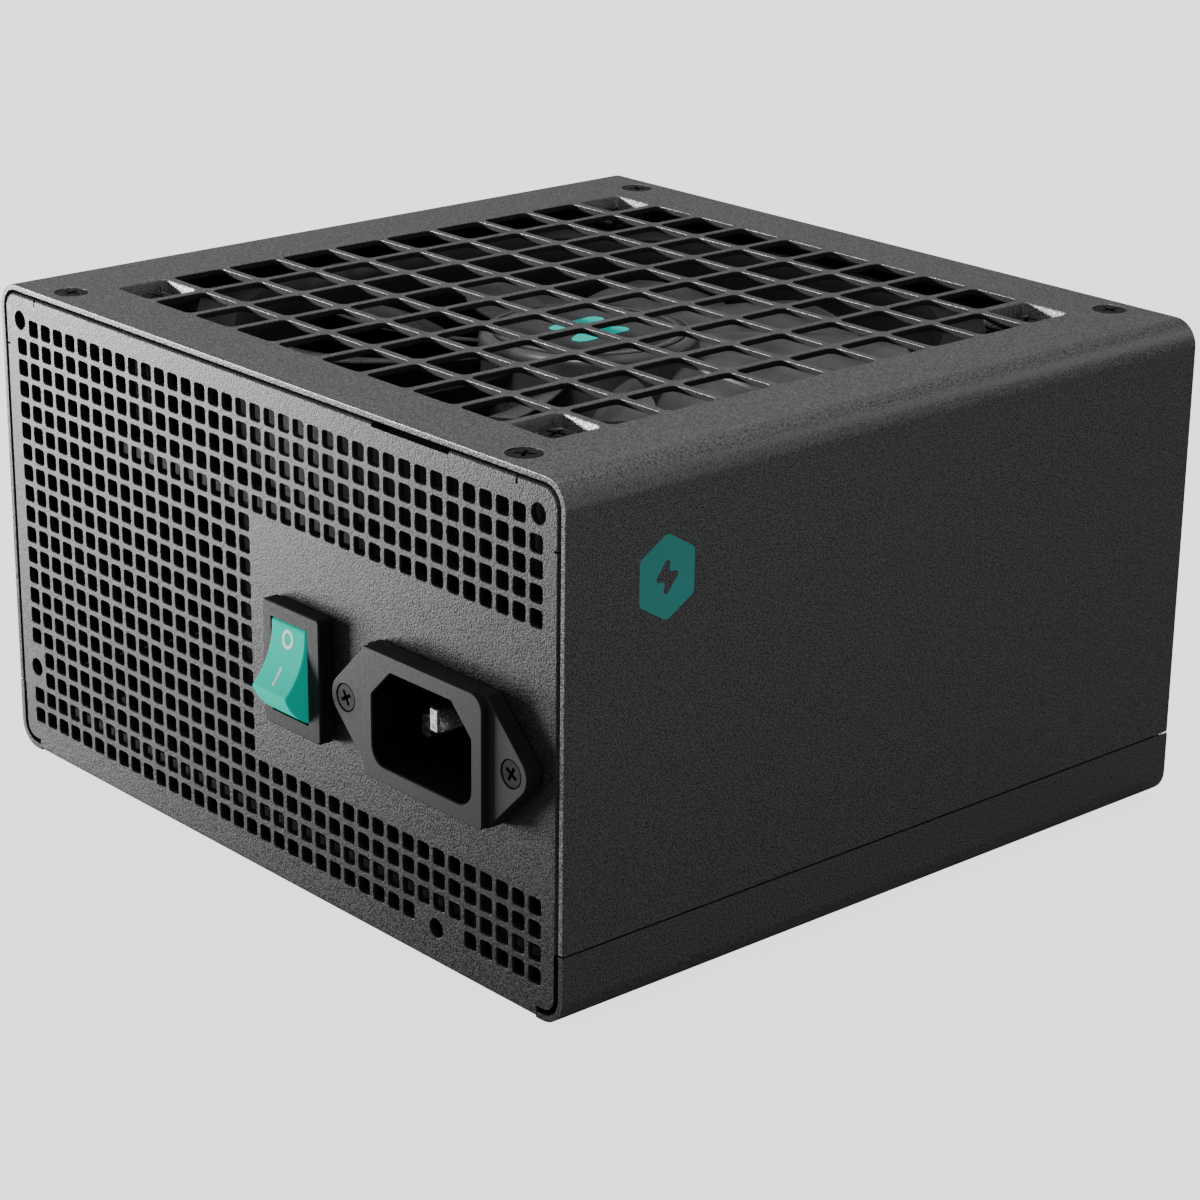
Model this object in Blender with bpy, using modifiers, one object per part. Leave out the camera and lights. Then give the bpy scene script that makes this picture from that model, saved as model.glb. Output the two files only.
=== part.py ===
"""Desktop power supply unit: a 150 x 86 x 140 mm steel case with a 120 mm fan under
a square grille, a perforated rear panel with a mains inlet and a rocker switch, and a
row of output sockets on the front panel.

Case frame: X across the rear panel, Y into the case from the rear panel's outer face,
Z up from the base. Everything hangs on one empty, which puts the origin of the scene
at the bottom centre of the whole unit. Sizes are in millimetres and become metres
where a mesh is made.
"""
import math

import bmesh
import bpy
from mathutils import Matrix, Vector

MM = 0.001

# Case
WIDTH = 150.0
HEIGHT = 86.0
DEPTH = 140.0
SHEET = 1.0
BEND = 4.5                 # outer radius of the case's long bends
SEAM = 12.0                # height at which the cover meets the tray
GAP = 0.3                  # left between pieces that touch
HALF = WIDTH / 2
PANEL_INSET = SHEET + GAP  # the end panels sit inside the cover
PANEL_TOP = HEIGHT - PANEL_INSET
PANEL_FLANGE = 9.6         # how far the end panels' flanges fold back
PANEL_EDGE = 1.3           # outer radius of those folds
FOLD_X = 64.0              # the panel's top flange reaches this far to each side
FOLD_Z = (12.5, 75.0)      # the side flanges' lower and upper ends
FOLD_END = HALF - 6.0      # the fold to the bottom reaches this far to each side
RELIEF = 0.8               # width of the relief notches beside the folds
SLOT = 1.0                 # width of the slots round the panels' bottom corners
SHY = 0.05                 # keeps the faces of shapes that are joined out of one plane

# Rear panel
HOLE_PITCH = 3.81
HOLE_SIZE = 2.75
HOLE_COLUMNS = 37
HOLE_ROWS = 20
HOLE_TOP = 79.2
MOUNT_HOLES = ((-69, 80), (69, 80), (-69, 16), (45, 6))
MOUNT_HOLE_R = 1.6

# Top grille and fan
GRILLE_CELLS = 10
FAN_HOLE_SPACING = 105.0
GRILLE_PITCH = FAN_HOLE_SPACING / (GRILLE_CELLS - 1)
GRILLE_CELL = 10.3
POCKET_SIZE = 9.8
POCKET_DEPTH = 2.2
FAN_CENTRE = (0.0, DEPTH / 2)
FAN_SIZE = 120.0
FAN_HEIGHT = 25.0
FAN_TOP = HEIGHT - POCKET_DEPTH - SHEET - GAP
FAN_BOTTOM = FAN_TOP - FAN_HEIGHT
DUCT_R = 58.0
HUB_R = 19.0
HUB_TOP = 81.0
HUB_BOTTOM = 63.0
BLADES = 11
BLADE_TIP_R = 56.4
COVER_SCREWS = tuple((x, y) for y in (5, DEPTH - 5) for x in (-60, 60))
COVER_SCREW_R = 2.9
FAN_SCREW_R = 3.3
SCREW_SHANK_R = 1.5

# Rocker switch
SWITCH = (11.9, 39.9)      # x and z of its centre
BEZEL_OFFSET = 0.4         # the bezel reaches further to the right of the rocker
SWITCH_BEZEL = (15.0, 21.0, 3.0)
SWITCH_BODY = (11.6, 19.0)
ROCKER_WIDTH = 9.0
ROCKER_R = 8.6
ROCKER_PIVOT_Y = 1.0
ROCKER_REST = 22.0         # degrees that the rocker leans from its middle, in each state
ROCKER_FACE = 39.5         # half the angle that its face spans
ROCKER_HOLLOW = 1.2        # how far its face sinks in the middle

# Mains inlet
INLET = (46.7, 39.8)
INLET_SCREW_SPACING = 40.0
INLET_SCREW_R = 2.5
INLET_EAR_R = 3.6
INLET_FLANGE = 3.1
INLET_RIM = 4.2
INLET_HEIGHT = 21.4
INLET_OPENING = (24.0, 16.0)
INLET_FLOOR = 11.5
INLET_BACK = 14.0
EARTH_PIN_RECESS = 2.6
PIN_RECESS = 6.6

# Inside
BOARD_BOTTOM = 7.2
BOARD_TOP = 8.8
ON_BOARD = BOARD_TOP + GAP
BOARD_SCREWS = tuple((x, y) for y in (12, 118) for x in (-60, 60))
SOCKET_PITCH = 4.2
SOCKET_CELL = 3.4
SOCKET_PROUD = 1.5
PORT_BOARD_Y = (128.0, 129.6)
# name, columns of contacts, x and z of the centre
SOCKETS = (
    ("motherboard_socket_wide", 9, -38.0, 38.0),
    ("motherboard_socket_narrow", 5, 0.5, 38.0),
    ("cpu_socket_1", 4, 29.0, 38.0),
    ("cpu_socket_2", 4, 54.0, 38.0),
    ("graphics_socket_1", 4, -46.0, 20.0),
    ("graphics_socket_2", 4, -20.0, 20.0),
    ("peripheral_socket_1", 3, 6.0, 20.0),
    ("peripheral_socket_2", 3, 28.0, 20.0),
    ("peripheral_socket_3", 3, 50.0, 20.0),
)

# The rocker's raised edge is the rearmost point and the sockets are the foremost.
ROCKER_PROUD = ROCKER_R * math.cos(math.radians(ROCKER_FACE - ROCKER_REST)) - ROCKER_PIVOT_Y
ORIGIN_Y = (DEPTH + SOCKET_PROUD - ROCKER_PROUD) / 2

for old in list(bpy.data.objects):
    bpy.data.objects.remove(old, do_unlink=True)

PARTS = bpy.data.collections.new("power_supply_unit")
TOOLS = bpy.data.collections.new("cutters")
for collection in (PARTS, TOOLS):
    bpy.context.scene.collection.children.link(collection)

CASE = bpy.data.objects.new("case_frame", None)
CASE.location = (0, -ORIGIN_Y * MM, 0)
PARTS.objects.link(CASE)


def material(name, colour, roughness, metallic=0.0):
    made = bpy.data.materials.new(name)
    made.use_nodes = True
    shader = made.node_tree.nodes["Principled BSDF"]
    shader.inputs["Base Color"].default_value = (*colour, 1)
    shader.inputs["Roughness"].default_value = roughness
    shader.inputs["Metallic"].default_value = metallic
    return made


POWDER_COAT = material("powder_coat", (0.045, 0.046, 0.048), 0.6)
BLACK_SCREW = material("black_screw", (0.03, 0.03, 0.032), 0.4, 0.8)
ZINC = material("zinc_screw", (0.6, 0.6, 0.58), 0.35, 1.0)
FAN_PLASTIC = material("fan_plastic", (0.02, 0.02, 0.022), 0.45)
BLADE_PLASTIC = material("blade_plastic", (0.025, 0.025, 0.028), 0.3)
SWITCH_PLASTIC = material("switch_plastic", (0.035, 0.035, 0.037), 0.5)
TEAL_PLASTIC = material("teal_plastic", (0.03, 0.62, 0.5), 0.35)
INLET_PLASTIC = material("inlet_plastic", (0.05, 0.05, 0.053), 0.55)
TINNED = material("tinned_contact", (0.75, 0.75, 0.74), 0.25, 1.0)
SOCKET_PLASTIC = material("socket_plastic", (0.02, 0.02, 0.022), 0.4)
STEEL = material("ground_steel", (0.62, 0.62, 0.63), 0.25, 1.0)
BRONZE = material("bearing_bronze", (0.55, 0.36, 0.16), 0.4, 1.0)
FERRITE = material("ferrite", (0.06, 0.06, 0.065), 0.7)
BADGE = material("badge_foil", (0.05, 0.05, 0.055), 0.4)
BOARD = material("circuit_board", (0.02, 0.09, 0.05), 0.45)
FILM = material("insulating_film", (0.12, 0.12, 0.13), 0.35)
SLEEVE = material("capacitor_sleeve", (0.03, 0.035, 0.05), 0.35)
YELLOW = material("yellow_film", (0.75, 0.55, 0.08), 0.4)
COPPER = material("copper_winding", (0.72, 0.33, 0.14), 0.35, 0.9)
TAPE = material("winding_tape", (0.72, 0.6, 0.12), 0.45)
ALUMINIUM = material("heatsink_aluminium", (0.65, 0.66, 0.68), 0.35, 1.0)
WIRE = material("wire_insulation", (0.02, 0.02, 0.02), 0.5)

SCREW_SIDES = 12
SHARP = math.radians(35)   # edges that turn by more than this stay sharp


# Outlines, as lists of points in a plane

def rounded(corners, steps=3):
    """The outline through corners (x, y, radius), with an arc in each that has a radius."""
    outline = []
    for number, (x, y, radius) in enumerate(corners):
        corner = Vector((x, y))
        before = (Vector(corners[number - 1][:2]) - corner).normalized()
        after = (Vector(corners[(number + 1) % len(corners)][:2]) - corner).normalized()
        if radius == 0:
            outline.append(corner)
            continue
        half_angle = before.angle(after) / 2
        reach = radius / math.tan(half_angle)
        centre = corner + (before + after).normalized() * radius / math.sin(half_angle)
        first = corner + before * reach - centre
        last = corner + after * reach - centre
        start = math.atan2(first.y, first.x)
        turn = (math.atan2(last.y, last.x) - start + math.pi) % math.tau - math.pi
        for step in range(steps + 1):
            angle = start + turn * step / steps
            outline.append(centre + radius * Vector((math.cos(angle), math.sin(angle))))
    return outline


def rectangle(width, height, radius=0.0, centre=(0, 0), steps=3):
    x, y = centre
    corners = [(x + a * width / 2, y + b * height / 2, radius)
               for a, b in ((-1, -1), (1, -1), (1, 1), (-1, 1))]
    return rounded(corners, steps)


def circle(radius, centre=(0, 0), sides=24):
    angles = [math.tau * side / sides for side in range(sides)]
    return [Vector((centre[0] + radius * math.cos(a), centre[1] + radius * math.sin(a)))
            for a in angles]


def channel(half_width, foot, crown, radius):
    """A U of sheet: its feet at one height and its crown at another, bent at radius."""
    up = math.copysign(SHEET, crown - foot)
    inner = half_width - SHEET
    return rounded([
        (-half_width, foot, 0), (-half_width, crown, radius),
        (half_width, crown, radius), (half_width, foot, 0),
        (inner, foot, 0), (inner, crown - up, radius - SHEET),
        (-inner, crown - up, radius - SHEET), (-inner, foot, 0)])


# Meshes, in the case's frame

def mesh_from(bm):
    bmesh.ops.scale(bm, vec=(MM, MM, MM), verts=bm.verts)
    mesh = bpy.data.meshes.new("shape")
    bm.to_mesh(mesh)
    bm.free()
    return mesh


def box(low, high):
    bm = bmesh.new()
    bmesh.ops.create_cube(bm, size=1)
    low, high = Vector(low), Vector(high)
    bmesh.ops.scale(bm, vec=high - low, verts=bm.verts)
    bmesh.ops.translate(bm, vec=(low + high) / 2, verts=bm.verts)
    return mesh_from(bm)


AXIS_TURNS = {
    "X": Matrix(((0, 0, 1), (1, 0, 0), (0, 1, 0))),
    "Y": Matrix(((1, 0, 0), (0, 0, 1), (0, 1, 0))),
    "Z": Matrix.Identity(3),
}


def extruded(outlines, low, high, axis="Z"):
    """Outlines filled and drawn out along an axis; an outline inside another is a hole.
    Their points are (y, z), (x, z) or (x, y) for the axes X, Y and Z."""
    curve = bpy.data.curves.new("outline", "CURVE")
    curve.dimensions = "2D"
    curve.fill_mode = "BOTH"
    curve.extrude = (high - low) / 2
    for outline in outlines:
        spline = curve.splines.new("POLY")
        spline.points.add(len(outline) - 1)
        spline.use_cyclic_u = True
        for point, (x, y) in zip(spline.points, outline):
            point.co = (x, y, 0, 1)
    holder = bpy.data.objects.new("outline", curve)
    TOOLS.objects.link(holder)
    mesh = evaluated(holder)
    bm = bmesh.new()
    bm.from_mesh(mesh)
    bmesh.ops.remove_doubles(bm, verts=bm.verts, dist=0.0001)
    bmesh.ops.translate(bm, vec=(0, 0, (low + high) / 2), verts=bm.verts)
    bmesh.ops.transform(bm, matrix=AXIS_TURNS[axis].to_4x4(), verts=bm.verts)
    bmesh.ops.recalc_face_normals(bm, faces=bm.faces)
    return mesh_from(bm)


def evaluated(holder):
    """The mesh that an object's curve or modifiers make; the object is removed."""
    depsgraph = bpy.context.evaluated_depsgraph_get()
    mesh = bpy.data.meshes.new_from_object(holder.evaluated_get(depsgraph))
    bpy.data.objects.remove(holder, do_unlink=True)
    return mesh


def turned(profile, steps=24):
    """A profile (radius, z) from top to bottom, turned round Z."""
    mesh = bpy.data.meshes.new("profile")
    edges = [(number, number + 1) for number in range(len(profile) - 1)]
    mesh.from_pydata([(r * MM, 0, z * MM) for r, z in profile], edges, [])
    holder = bpy.data.objects.new("profile", mesh)
    TOOLS.objects.link(holder)
    screw = holder.modifiers.new("turn", "SCREW")
    screw.steps = steps
    screw.render_steps = steps
    screw.use_merge_vertices = True
    screw.merge_threshold = 0.000001
    made = evaluated(holder)
    bm = bmesh.new()
    bm.from_mesh(made)
    bmesh.ops.remove_doubles(bm, verts=bm.verts, dist=0.000001)
    bm.to_mesh(made)
    bm.free()
    return made


def turned_closed(profile, steps=24):
    """A ring: the profile runs down its outer side and back up its inner side."""
    return turned([*profile, profile[0]], steps)


def cylinder(radius, low, high, centre=(0, 0), sides=24, axis="Z"):
    return extruded([circle(radius, centre, sides)], low, high, axis)


def moved(mesh, offset=(0, 0, 0), angle=0.0, axis="Z"):
    turn = Matrix.Rotation(math.radians(angle), 4, axis)
    mesh.transform(Matrix.Translation(Vector(offset) * MM) @ turn)
    return mesh


def merged(meshes):
    """Several closed shapes that don't touch, in one mesh."""
    bm = bmesh.new()
    for mesh in meshes:
        bm.from_mesh(mesh)
    mesh = bpy.data.meshes.new("shapes")
    bm.to_mesh(mesh)
    bm.free()
    return mesh


def at_front(mesh):
    """The mirror image of a shape of the rear panel, on the front panel."""
    mirror = Matrix.Scale(-1, 4, (0, 1, 0))
    copy = mesh.copy()
    copy.transform(Matrix.Translation((0, DEPTH * MM, 0)) @ mirror)
    copy.flip_normals()
    return copy


def soften(mesh, width, keep, segments=2):
    """Rounds the edges for which keep(first end, second end), in millimetres, is true."""
    bm = bmesh.new()
    bm.from_mesh(mesh)
    edges = [edge for edge in bm.edges
             if edge.calc_face_angle(0) > 0.5 and keep(*(v.co / MM for v in edge.verts))]
    bmesh.ops.bevel(bm, geom=edges, offset=width * MM, segments=segments,
                    profile=0.5, affect="EDGES", clamp_overlap=True)
    bm.to_mesh(mesh)
    bm.free()
    return mesh


# Objects

def combine(target, mesh, operation):
    tool = bpy.data.objects.new("tool_for_" + target.name, mesh)
    TOOLS.objects.link(tool)
    tool.parent = CASE
    tool.location = target.location
    tool.hide_render = True
    tool.display_type = "WIRE"
    boolean = target.modifiers.new(operation.lower(), "BOOLEAN")
    boolean.operation = operation
    boolean.solver = "EXACT"
    boolean.object = tool
    return tool


def cut(target, *meshes):
    for mesh in meshes:
        combine(target, mesh, "DIFFERENCE")


def add(target, *meshes):
    for mesh in meshes:
        combine(target, mesh, "UNION")


def part(name, mesh, finish, location=(0, 0, 0), rotation=(0, 0, 0)):
    """One sub-part. Its mesh is round its own origin when it has a location."""
    made = bpy.data.objects.new(name, mesh)
    PARTS.objects.link(made)
    made.parent = CASE
    made.location = Vector(location) * MM
    made.rotation_euler = [math.radians(angle) for angle in rotation]
    if not mesh.materials:
        mesh.materials.append(finish)
    mesh.shade_smooth()
    mesh.set_sharp_from_angle(angle=SHARP)
    return made


def shape(mesh, cuts=(), adds=()):
    """A mesh with Booleans already carried out, for shapes that are used again."""
    holder = bpy.data.objects.new("holder", mesh)
    TOOLS.objects.link(holder)
    holder.parent = CASE
    tools = [combine(holder, other, "UNION") for other in adds]
    tools += [combine(holder, other, "DIFFERENCE") for other in cuts]
    bpy.context.view_layer.update()
    made = evaluated(holder)
    for tool in tools:
        bpy.data.objects.remove(tool, do_unlink=True)
    return made


def tube(points, radius):
    """A wire of a round section along a smooth line through the points."""
    curve = bpy.data.curves.new("wire", "CURVE")
    curve.dimensions = "3D"
    curve.bevel_depth = radius * MM
    curve.bevel_resolution = 2
    curve.use_fill_caps = True
    route = smooth_route([Vector(point) for point in points])
    spline = curve.splines.new("POLY")
    spline.points.add(len(route) - 1)
    for point, place in zip(spline.points, route):
        point.co = (*(place * MM), 1)
    holder = bpy.data.objects.new("wire", curve)
    TOOLS.objects.link(holder)
    mesh = evaluated(holder)
    bm = bmesh.new()
    bm.from_mesh(mesh)
    bmesh.ops.remove_doubles(bm, verts=bm.verts, dist=0.000001)
    bmesh.ops.recalc_face_normals(bm, faces=bm.faces)
    bm.to_mesh(mesh)
    bm.free()
    return mesh


def smooth_route(points, steps=3):
    """A Catmull-Rom line through the points."""
    padded = [points[0], *points, points[-1]]
    route = []
    for a, b, c, d in zip(padded, padded[1:], padded[2:], padded[3:]):
        for step in range(steps):
            t = step / steps
            route.append(0.5 * (2 * b + (c - a) * t + (2 * a - 5 * b + 4 * c - d) * t ** 2
                                + (3 * b - a - 3 * c + d) * t ** 3))
    route.append(points[-1])
    return route


# Screws

def cross_recess(size, depth):
    """A cross-shaped sinking, with its mouth at z = 0."""
    arm, narrow = size / 2, size / 7
    outline = [(arm, narrow), (narrow, narrow), (narrow, arm)]
    points = []
    for quarter in range(4):
        turn = Matrix.Rotation(quarter * math.pi / 2, 2)
        points += [turn @ Vector(point) for point in outline]
    return extruded([points], -depth, 1.0)


def flat_screw(head_r, shank_r, length):
    """A countersunk screw pointing down, with the top of its head at z = 0."""
    slope = head_r - shank_r
    body = turned([(0, 0), (head_r, 0), (head_r, -0.2), (shank_r, -0.2 - slope),
                   (shank_r, -length), (0, -length)], SCREW_SIDES)
    return shape(body, cuts=[cross_recess(head_r * 1.15, 0.9)])


def pan_screw(head_r, head_height, shank_r, length, recessed=True):
    """A round-headed screw pointing down, with the underside of its head at z = 0."""
    body = turned([(0, head_height), (head_r * 0.75, head_height * 0.9),
                   (head_r, head_height * 0.4), (head_r, 0), (shank_r, 0),
                   (shank_r, -length), (0, -length)], SCREW_SIDES)
    if not recessed:
        return body
    return shape(body, cuts=[moved(cross_recess(head_r * 1.1, head_height * 0.55),
                                   (0, 0, head_height))])


def countersink(head_r, shank_r, length):
    """The hole for a flat screw: its outline, standing off by the gap."""
    slope = head_r - shank_r
    return turned([(0, 1), (head_r + GAP, 1), (head_r + GAP, -0.2),
                   (shank_r + GAP, -0.2 - slope), (shank_r + GAP, -length), (0, -length)],
                  SCREW_SIDES)


# The case

def upper_cover():
    """The outer U of sheet, with the fan grille cut in its top."""
    outline = channel(HALF, SEAM + GAP / 2, HEIGHT, BEND)
    cover = part("upper_cover", extruded([outline], 0, DEPTH, "Y"), POWDER_COAT)
    last = GRILLE_CELLS - 1
    wall = POCKET_SIZE / 2 + SHEET
    floor = HEIGHT - POCKET_DEPTH
    shells = []
    openings = []
    screw_holes = []
    for row in range(GRILLE_CELLS):
        for column in range(GRILLE_CELLS):
            x = FAN_CENTRE[0] + (column - last / 2) * GRILLE_PITCH
            y = FAN_CENTRE[1] + (row - last / 2) * GRILLE_PITCH
            is_pocket = row in (0, last) and column in (0, last)
            half = (POCKET_SIZE if is_pocket else GRILLE_CELL) / 2
            low = floor if is_pocket else HEIGHT - 2
            openings.append(box((x - half, y - half, low), (x + half, y + half, HEIGHT + 1)))
            if is_pocket:
                shells.append(box((x - wall, y - wall, floor - SHEET),
                                  (x + wall, y + wall, HEIGHT - SHEET / 2)))
                screw_holes.append(cylinder(2.2, floor - 1.5, floor + SHEET / 2, (x, y), 16))
    sinks = [moved(countersink(COVER_SCREW_R, SCREW_SHANK_R, 3), (x, y, HEIGHT))
             for x, y in COVER_SCREWS]
    add(cover, merged(shells))
    cut(cover, merged(openings + sinks), merged(screw_holes))


def end_panel():
    """A pressed panel at y = 0 with its edges folded back, before any hole."""
    height = PANEL_TOP
    half = HALF - PANEL_INSET
    corner = BEND - PANEL_INSET

    def outline(inset):
        return rounded([(-half + inset, SHY + inset, corner - inset),
                        (half - inset, SHY + inset, corner - inset),
                        (half - inset, height - inset, corner - inset),
                        (-half + inset, height - inset, corner - inset)])

    outer = extruded([outline(0)], 0, PANEL_FLANGE, "Y")
    soften(outer, PANEL_EDGE, lambda a, b: abs(a.y) < 0.01 and abs(b.y) < 0.01)
    hollow = extruded([outline(SHEET)], SHEET, PANEL_FLANGE + 1, "Y")
    behind = SHEET - SHY
    reach = PANEL_FLANGE + 2
    trims = []
    for side in (-1, 1):
        low, high = sorted((side * FOLD_X, side * (half + 1)))
        trims.append(box((low, behind, FOLD_Z[1]), (high, reach, height + 1)))
        low, high = sorted((side * (FOLD_END - 2), side * (half + 1)))
        trims.append(box((low, behind, -1), (high, reach, FOLD_Z[0])))
        low, high = sorted((side * FOLD_X, side * (FOLD_X + RELIEF)))
        trims.append(box((low, -1, height - 2.0), (high, SHEET + 1, height + 1)))
        low, high = sorted((side * (half - 1.6), side * (half + 1)))
        trims.append(box((low, -1, FOLD_Z[1]), (high, SHEET + 1, FOLD_Z[1] + RELIEF)))
        trims.append(corner_relief(side))
    return shape(outer, cuts=[hollow, *trims])


def corner_relief(side):
    """What is cut off an end panel to part it from the tray's bend at a bottom corner."""
    wide = HALF - SHEET - SLOT
    low = SHEET + SLOT
    beyond = HALF + 1
    outline = rounded([(FOLD_END, -1, 0), (FOLD_END, low, 0), (wide, low, BEND - low),
                       (wide, SEAM, 0), (beyond, SEAM, 0), (beyond, -1, 0)])
    return extruded([[Vector((side * x, z)) for x, z in outline]], -1, SHEET + 1, "Y")


def bottom_fold():
    """What is cut away to round the fold between an end panel and the bottom."""
    centre = PANEL_EDGE
    arc = [Vector((centre - PANEL_EDGE * math.sin(angle), centre - PANEL_EDGE * math.cos(angle)))
           for angle in (0, math.pi / 6, math.pi / 3, math.pi / 2)]
    outline = [Vector((centre, -1)), *arc, Vector((-1, centre)), Vector((-1, -1))]
    reach = FOLD_END - 0.1
    return extruded([outline], -reach, reach, "X")


def has_hole(row, column):
    """Whether the rear grid has a hole here: not round the inlet, switch and fixings."""
    last = HOLE_COLUMNS - 1
    beside_inlet = column >= last // 2 and 5 <= row <= 15
    top_corner = row == 0 and column in (0, last)
    left_fixing = column == 0 and row in (16, 17)
    bottom_fixing = row == HOLE_ROWS - 1 and 29 <= column <= 31
    return not (beside_inlet or top_corner or left_fixing or bottom_fixing)


def rear_openings():
    """The rear grid's holes, four to an opening where a block of two by two is whole."""
    openings = []
    for top in range(0, HOLE_ROWS, 2):
        for left in range(0, HOLE_COLUMNS, 2):
            block = [(row, column) for row in (top, top + 1) for column in (left, left + 1)
                     if column < HOLE_COLUMNS and has_hole(row, column)]
            groups = [block] if len(block) == 4 else [[hole] for hole in block]
            openings += [grid_opening(group) for group in groups]
    return merged(openings)


def grid_opening(holes):
    half = HOLE_SIZE / 2
    xs = [(column - (HOLE_COLUMNS - 1) / 2) * HOLE_PITCH for _, column in holes]
    zs = [HOLE_TOP - row * HOLE_PITCH for row, _ in holes]
    return box((min(xs) - half, -0.5, min(zs) - half),
               (max(xs) + half, SHEET + 0.5, max(zs) + half))


def lower_tray():
    """Bottom, side flanges and both end panels, bent from one sheet."""
    outline = channel(HALF, SEAM - GAP / 2, 0, BEND)
    tray = part("lower_tray", extruded([outline], SHY, DEPTH - SHY, "Y"), POWDER_COAT)
    rear = end_panel()
    fold = bottom_fold()
    add(tray, rear, at_front(rear))
    cut(tray, fold, at_front(fold))
    add(tray, merged([cylinder(3.4, SHEET / 2, BOARD_BOTTOM - GAP, place, 12)
                      for place in BOARD_SCREWS]))
    through = (-0.5, SHEET + 0.5)
    x, z = INLET
    openings = [cylinder(MOUNT_HOLE_R, *through, place, 16, "Y") for place in MOUNT_HOLES]
    openings += [cylinder(2.3, *through, (x + side * INLET_SCREW_SPACING / 2, z), 12, "Y")
                 for side in (-1, 1)]
    openings.append(extruded([rectangle(28.0, 20.4, 0.0, INLET)], *through, "Y"))
    openings.append(extruded([rectangle(12.2, 19.6, 0.0, SWITCH)], *through, "Y"))
    openings.append(box((30, -1, PANEL_TOP - 0.8), (48.6, SHEET + 1.2, PANEL_TOP + 1)))
    openings += [cylinder(2.3, PANEL_TOP - 3, PANEL_TOP + 1, place, 12) for place in COVER_SCREWS]
    openings += [cylinder(1.9, 2.0, BOARD_BOTTOM + 1, place, 8) for place in BOARD_SCREWS]
    for _, columns, socket_x, socket_z in SOCKETS:
        width, height = socket_size(columns)
        opening = rectangle(width + 2 * GAP, height + 2 * GAP, 0, (socket_x, socket_z))
        openings.append(extruded([opening], DEPTH - SHEET - 0.5, DEPTH + 0.5, "Y"))
    cut(tray, merged(openings), rear_openings())


def case_screws():
    flat = flat_screw(COVER_SCREW_R, SCREW_SHANK_R, 6.0)
    for number, (x, y) in enumerate(COVER_SCREWS, 1):
        part(f"cover_screw_{number}", flat, BLACK_SCREW, (x, y, HEIGHT))
    pan = pan_screw(FAN_SCREW_R, 0.9, 1.7, 11.0)
    half = FAN_HOLE_SPACING / 2
    places = [(a * half, FAN_CENTRE[1] + b * half) for b in (-1, 1) for a in (-1, 1)]
    for number, (x, y) in enumerate(places, 1):
        part(f"fan_screw_{number}", pan, BLACK_SCREW, (x, y, HEIGHT - POCKET_DEPTH + 0.2))


# The fan

def fan_frame():
    """Two square flanges joined by the duct, with a motor mount on four struts."""
    def square(low, high):
        return extruded([rectangle(FAN_SIZE, FAN_SIZE, 5.0, FAN_CENTRE)], low, high)

    frame = part("fan_frame", square(FAN_TOP - 4, FAN_TOP), FAN_PLASTIC)
    add(frame, square(FAN_BOTTOM, FAN_BOTTOM + 4),
        cylinder(FAN_SIZE / 2 - 0.3, FAN_BOTTOM + 1, FAN_TOP - 1, FAN_CENTRE, 40))
    half = FAN_HOLE_SPACING / 2
    holes = [cylinder(2.2, FAN_BOTTOM - 1, FAN_TOP + 1, (a * half, FAN_CENTRE[1] + b * half), 8)
             for a in (-1, 1) for b in (-1, 1)]
    cut(frame, cylinder(DUCT_R, FAN_BOTTOM - 1, FAN_TOP + 1, FAN_CENTRE, 40), merged(holes))
    struts = []
    for number in range(4):
        strut = box((15, -2, FAN_BOTTOM), (DUCT_R + 1, 2, FAN_BOTTOM + 3))
        struts.append(moved(moved(strut, angle=90 * number + 25), (*FAN_CENTRE, 0)))
    add(frame, *struts, cylinder(HUB_R, FAN_BOTTOM + SHY, FAN_BOTTOM + 2.5, FAN_CENTRE, 24),
        cylinder(4.6, FAN_BOTTOM + 1, FAN_BOTTOM + 18, FAN_CENTRE, 16))
    cut(frame, cylinder(4.1, FAN_BOTTOM + 1.2, FAN_BOTTOM + 19, FAN_CENTRE, 16))


def blade():
    """One blade as a curved sheet, from the hub to its tip, given a thickness."""
    bm = bmesh.new()
    spans, chords = 4, 3
    root_r = HUB_R - 1.2
    grid = []
    for i in range(spans + 1):
        out = i / spans
        radius = root_r + (BLADE_TIP_R - root_r) * out
        width = math.radians(31.0 - 2.0 * out)
        sweep = -math.radians(16.0) * out ** 1.4
        rise = 12.5 - 3.5 * out
        row = []
        for j in range(chords + 1):
            along = j / chords
            angle = sweep + (along - 0.5) * width
            camber = 2.2 * math.sin(math.pi * along)
            height = (along - 0.5) * rise + camber
            row.append(bm.verts.new((radius * math.cos(angle), radius * math.sin(angle), height)))
        grid.append(row)
    for inner, outer in zip(grid, grid[1:]):
        for j in range(chords):
            bm.faces.new((inner[j], outer[j], outer[j + 1], inner[j + 1]))
    bmesh.ops.translate(bm, vec=(0, 0, 71.0), verts=bm.verts)
    mesh = mesh_from(bm)
    holder = bpy.data.objects.new("blade", mesh)
    TOOLS.objects.link(holder)
    thicken = holder.modifiers.new("thicken", "SOLIDIFY")
    thicken.thickness = 1.5 * MM
    thicken.offset = 0
    return evaluated(holder)


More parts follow.
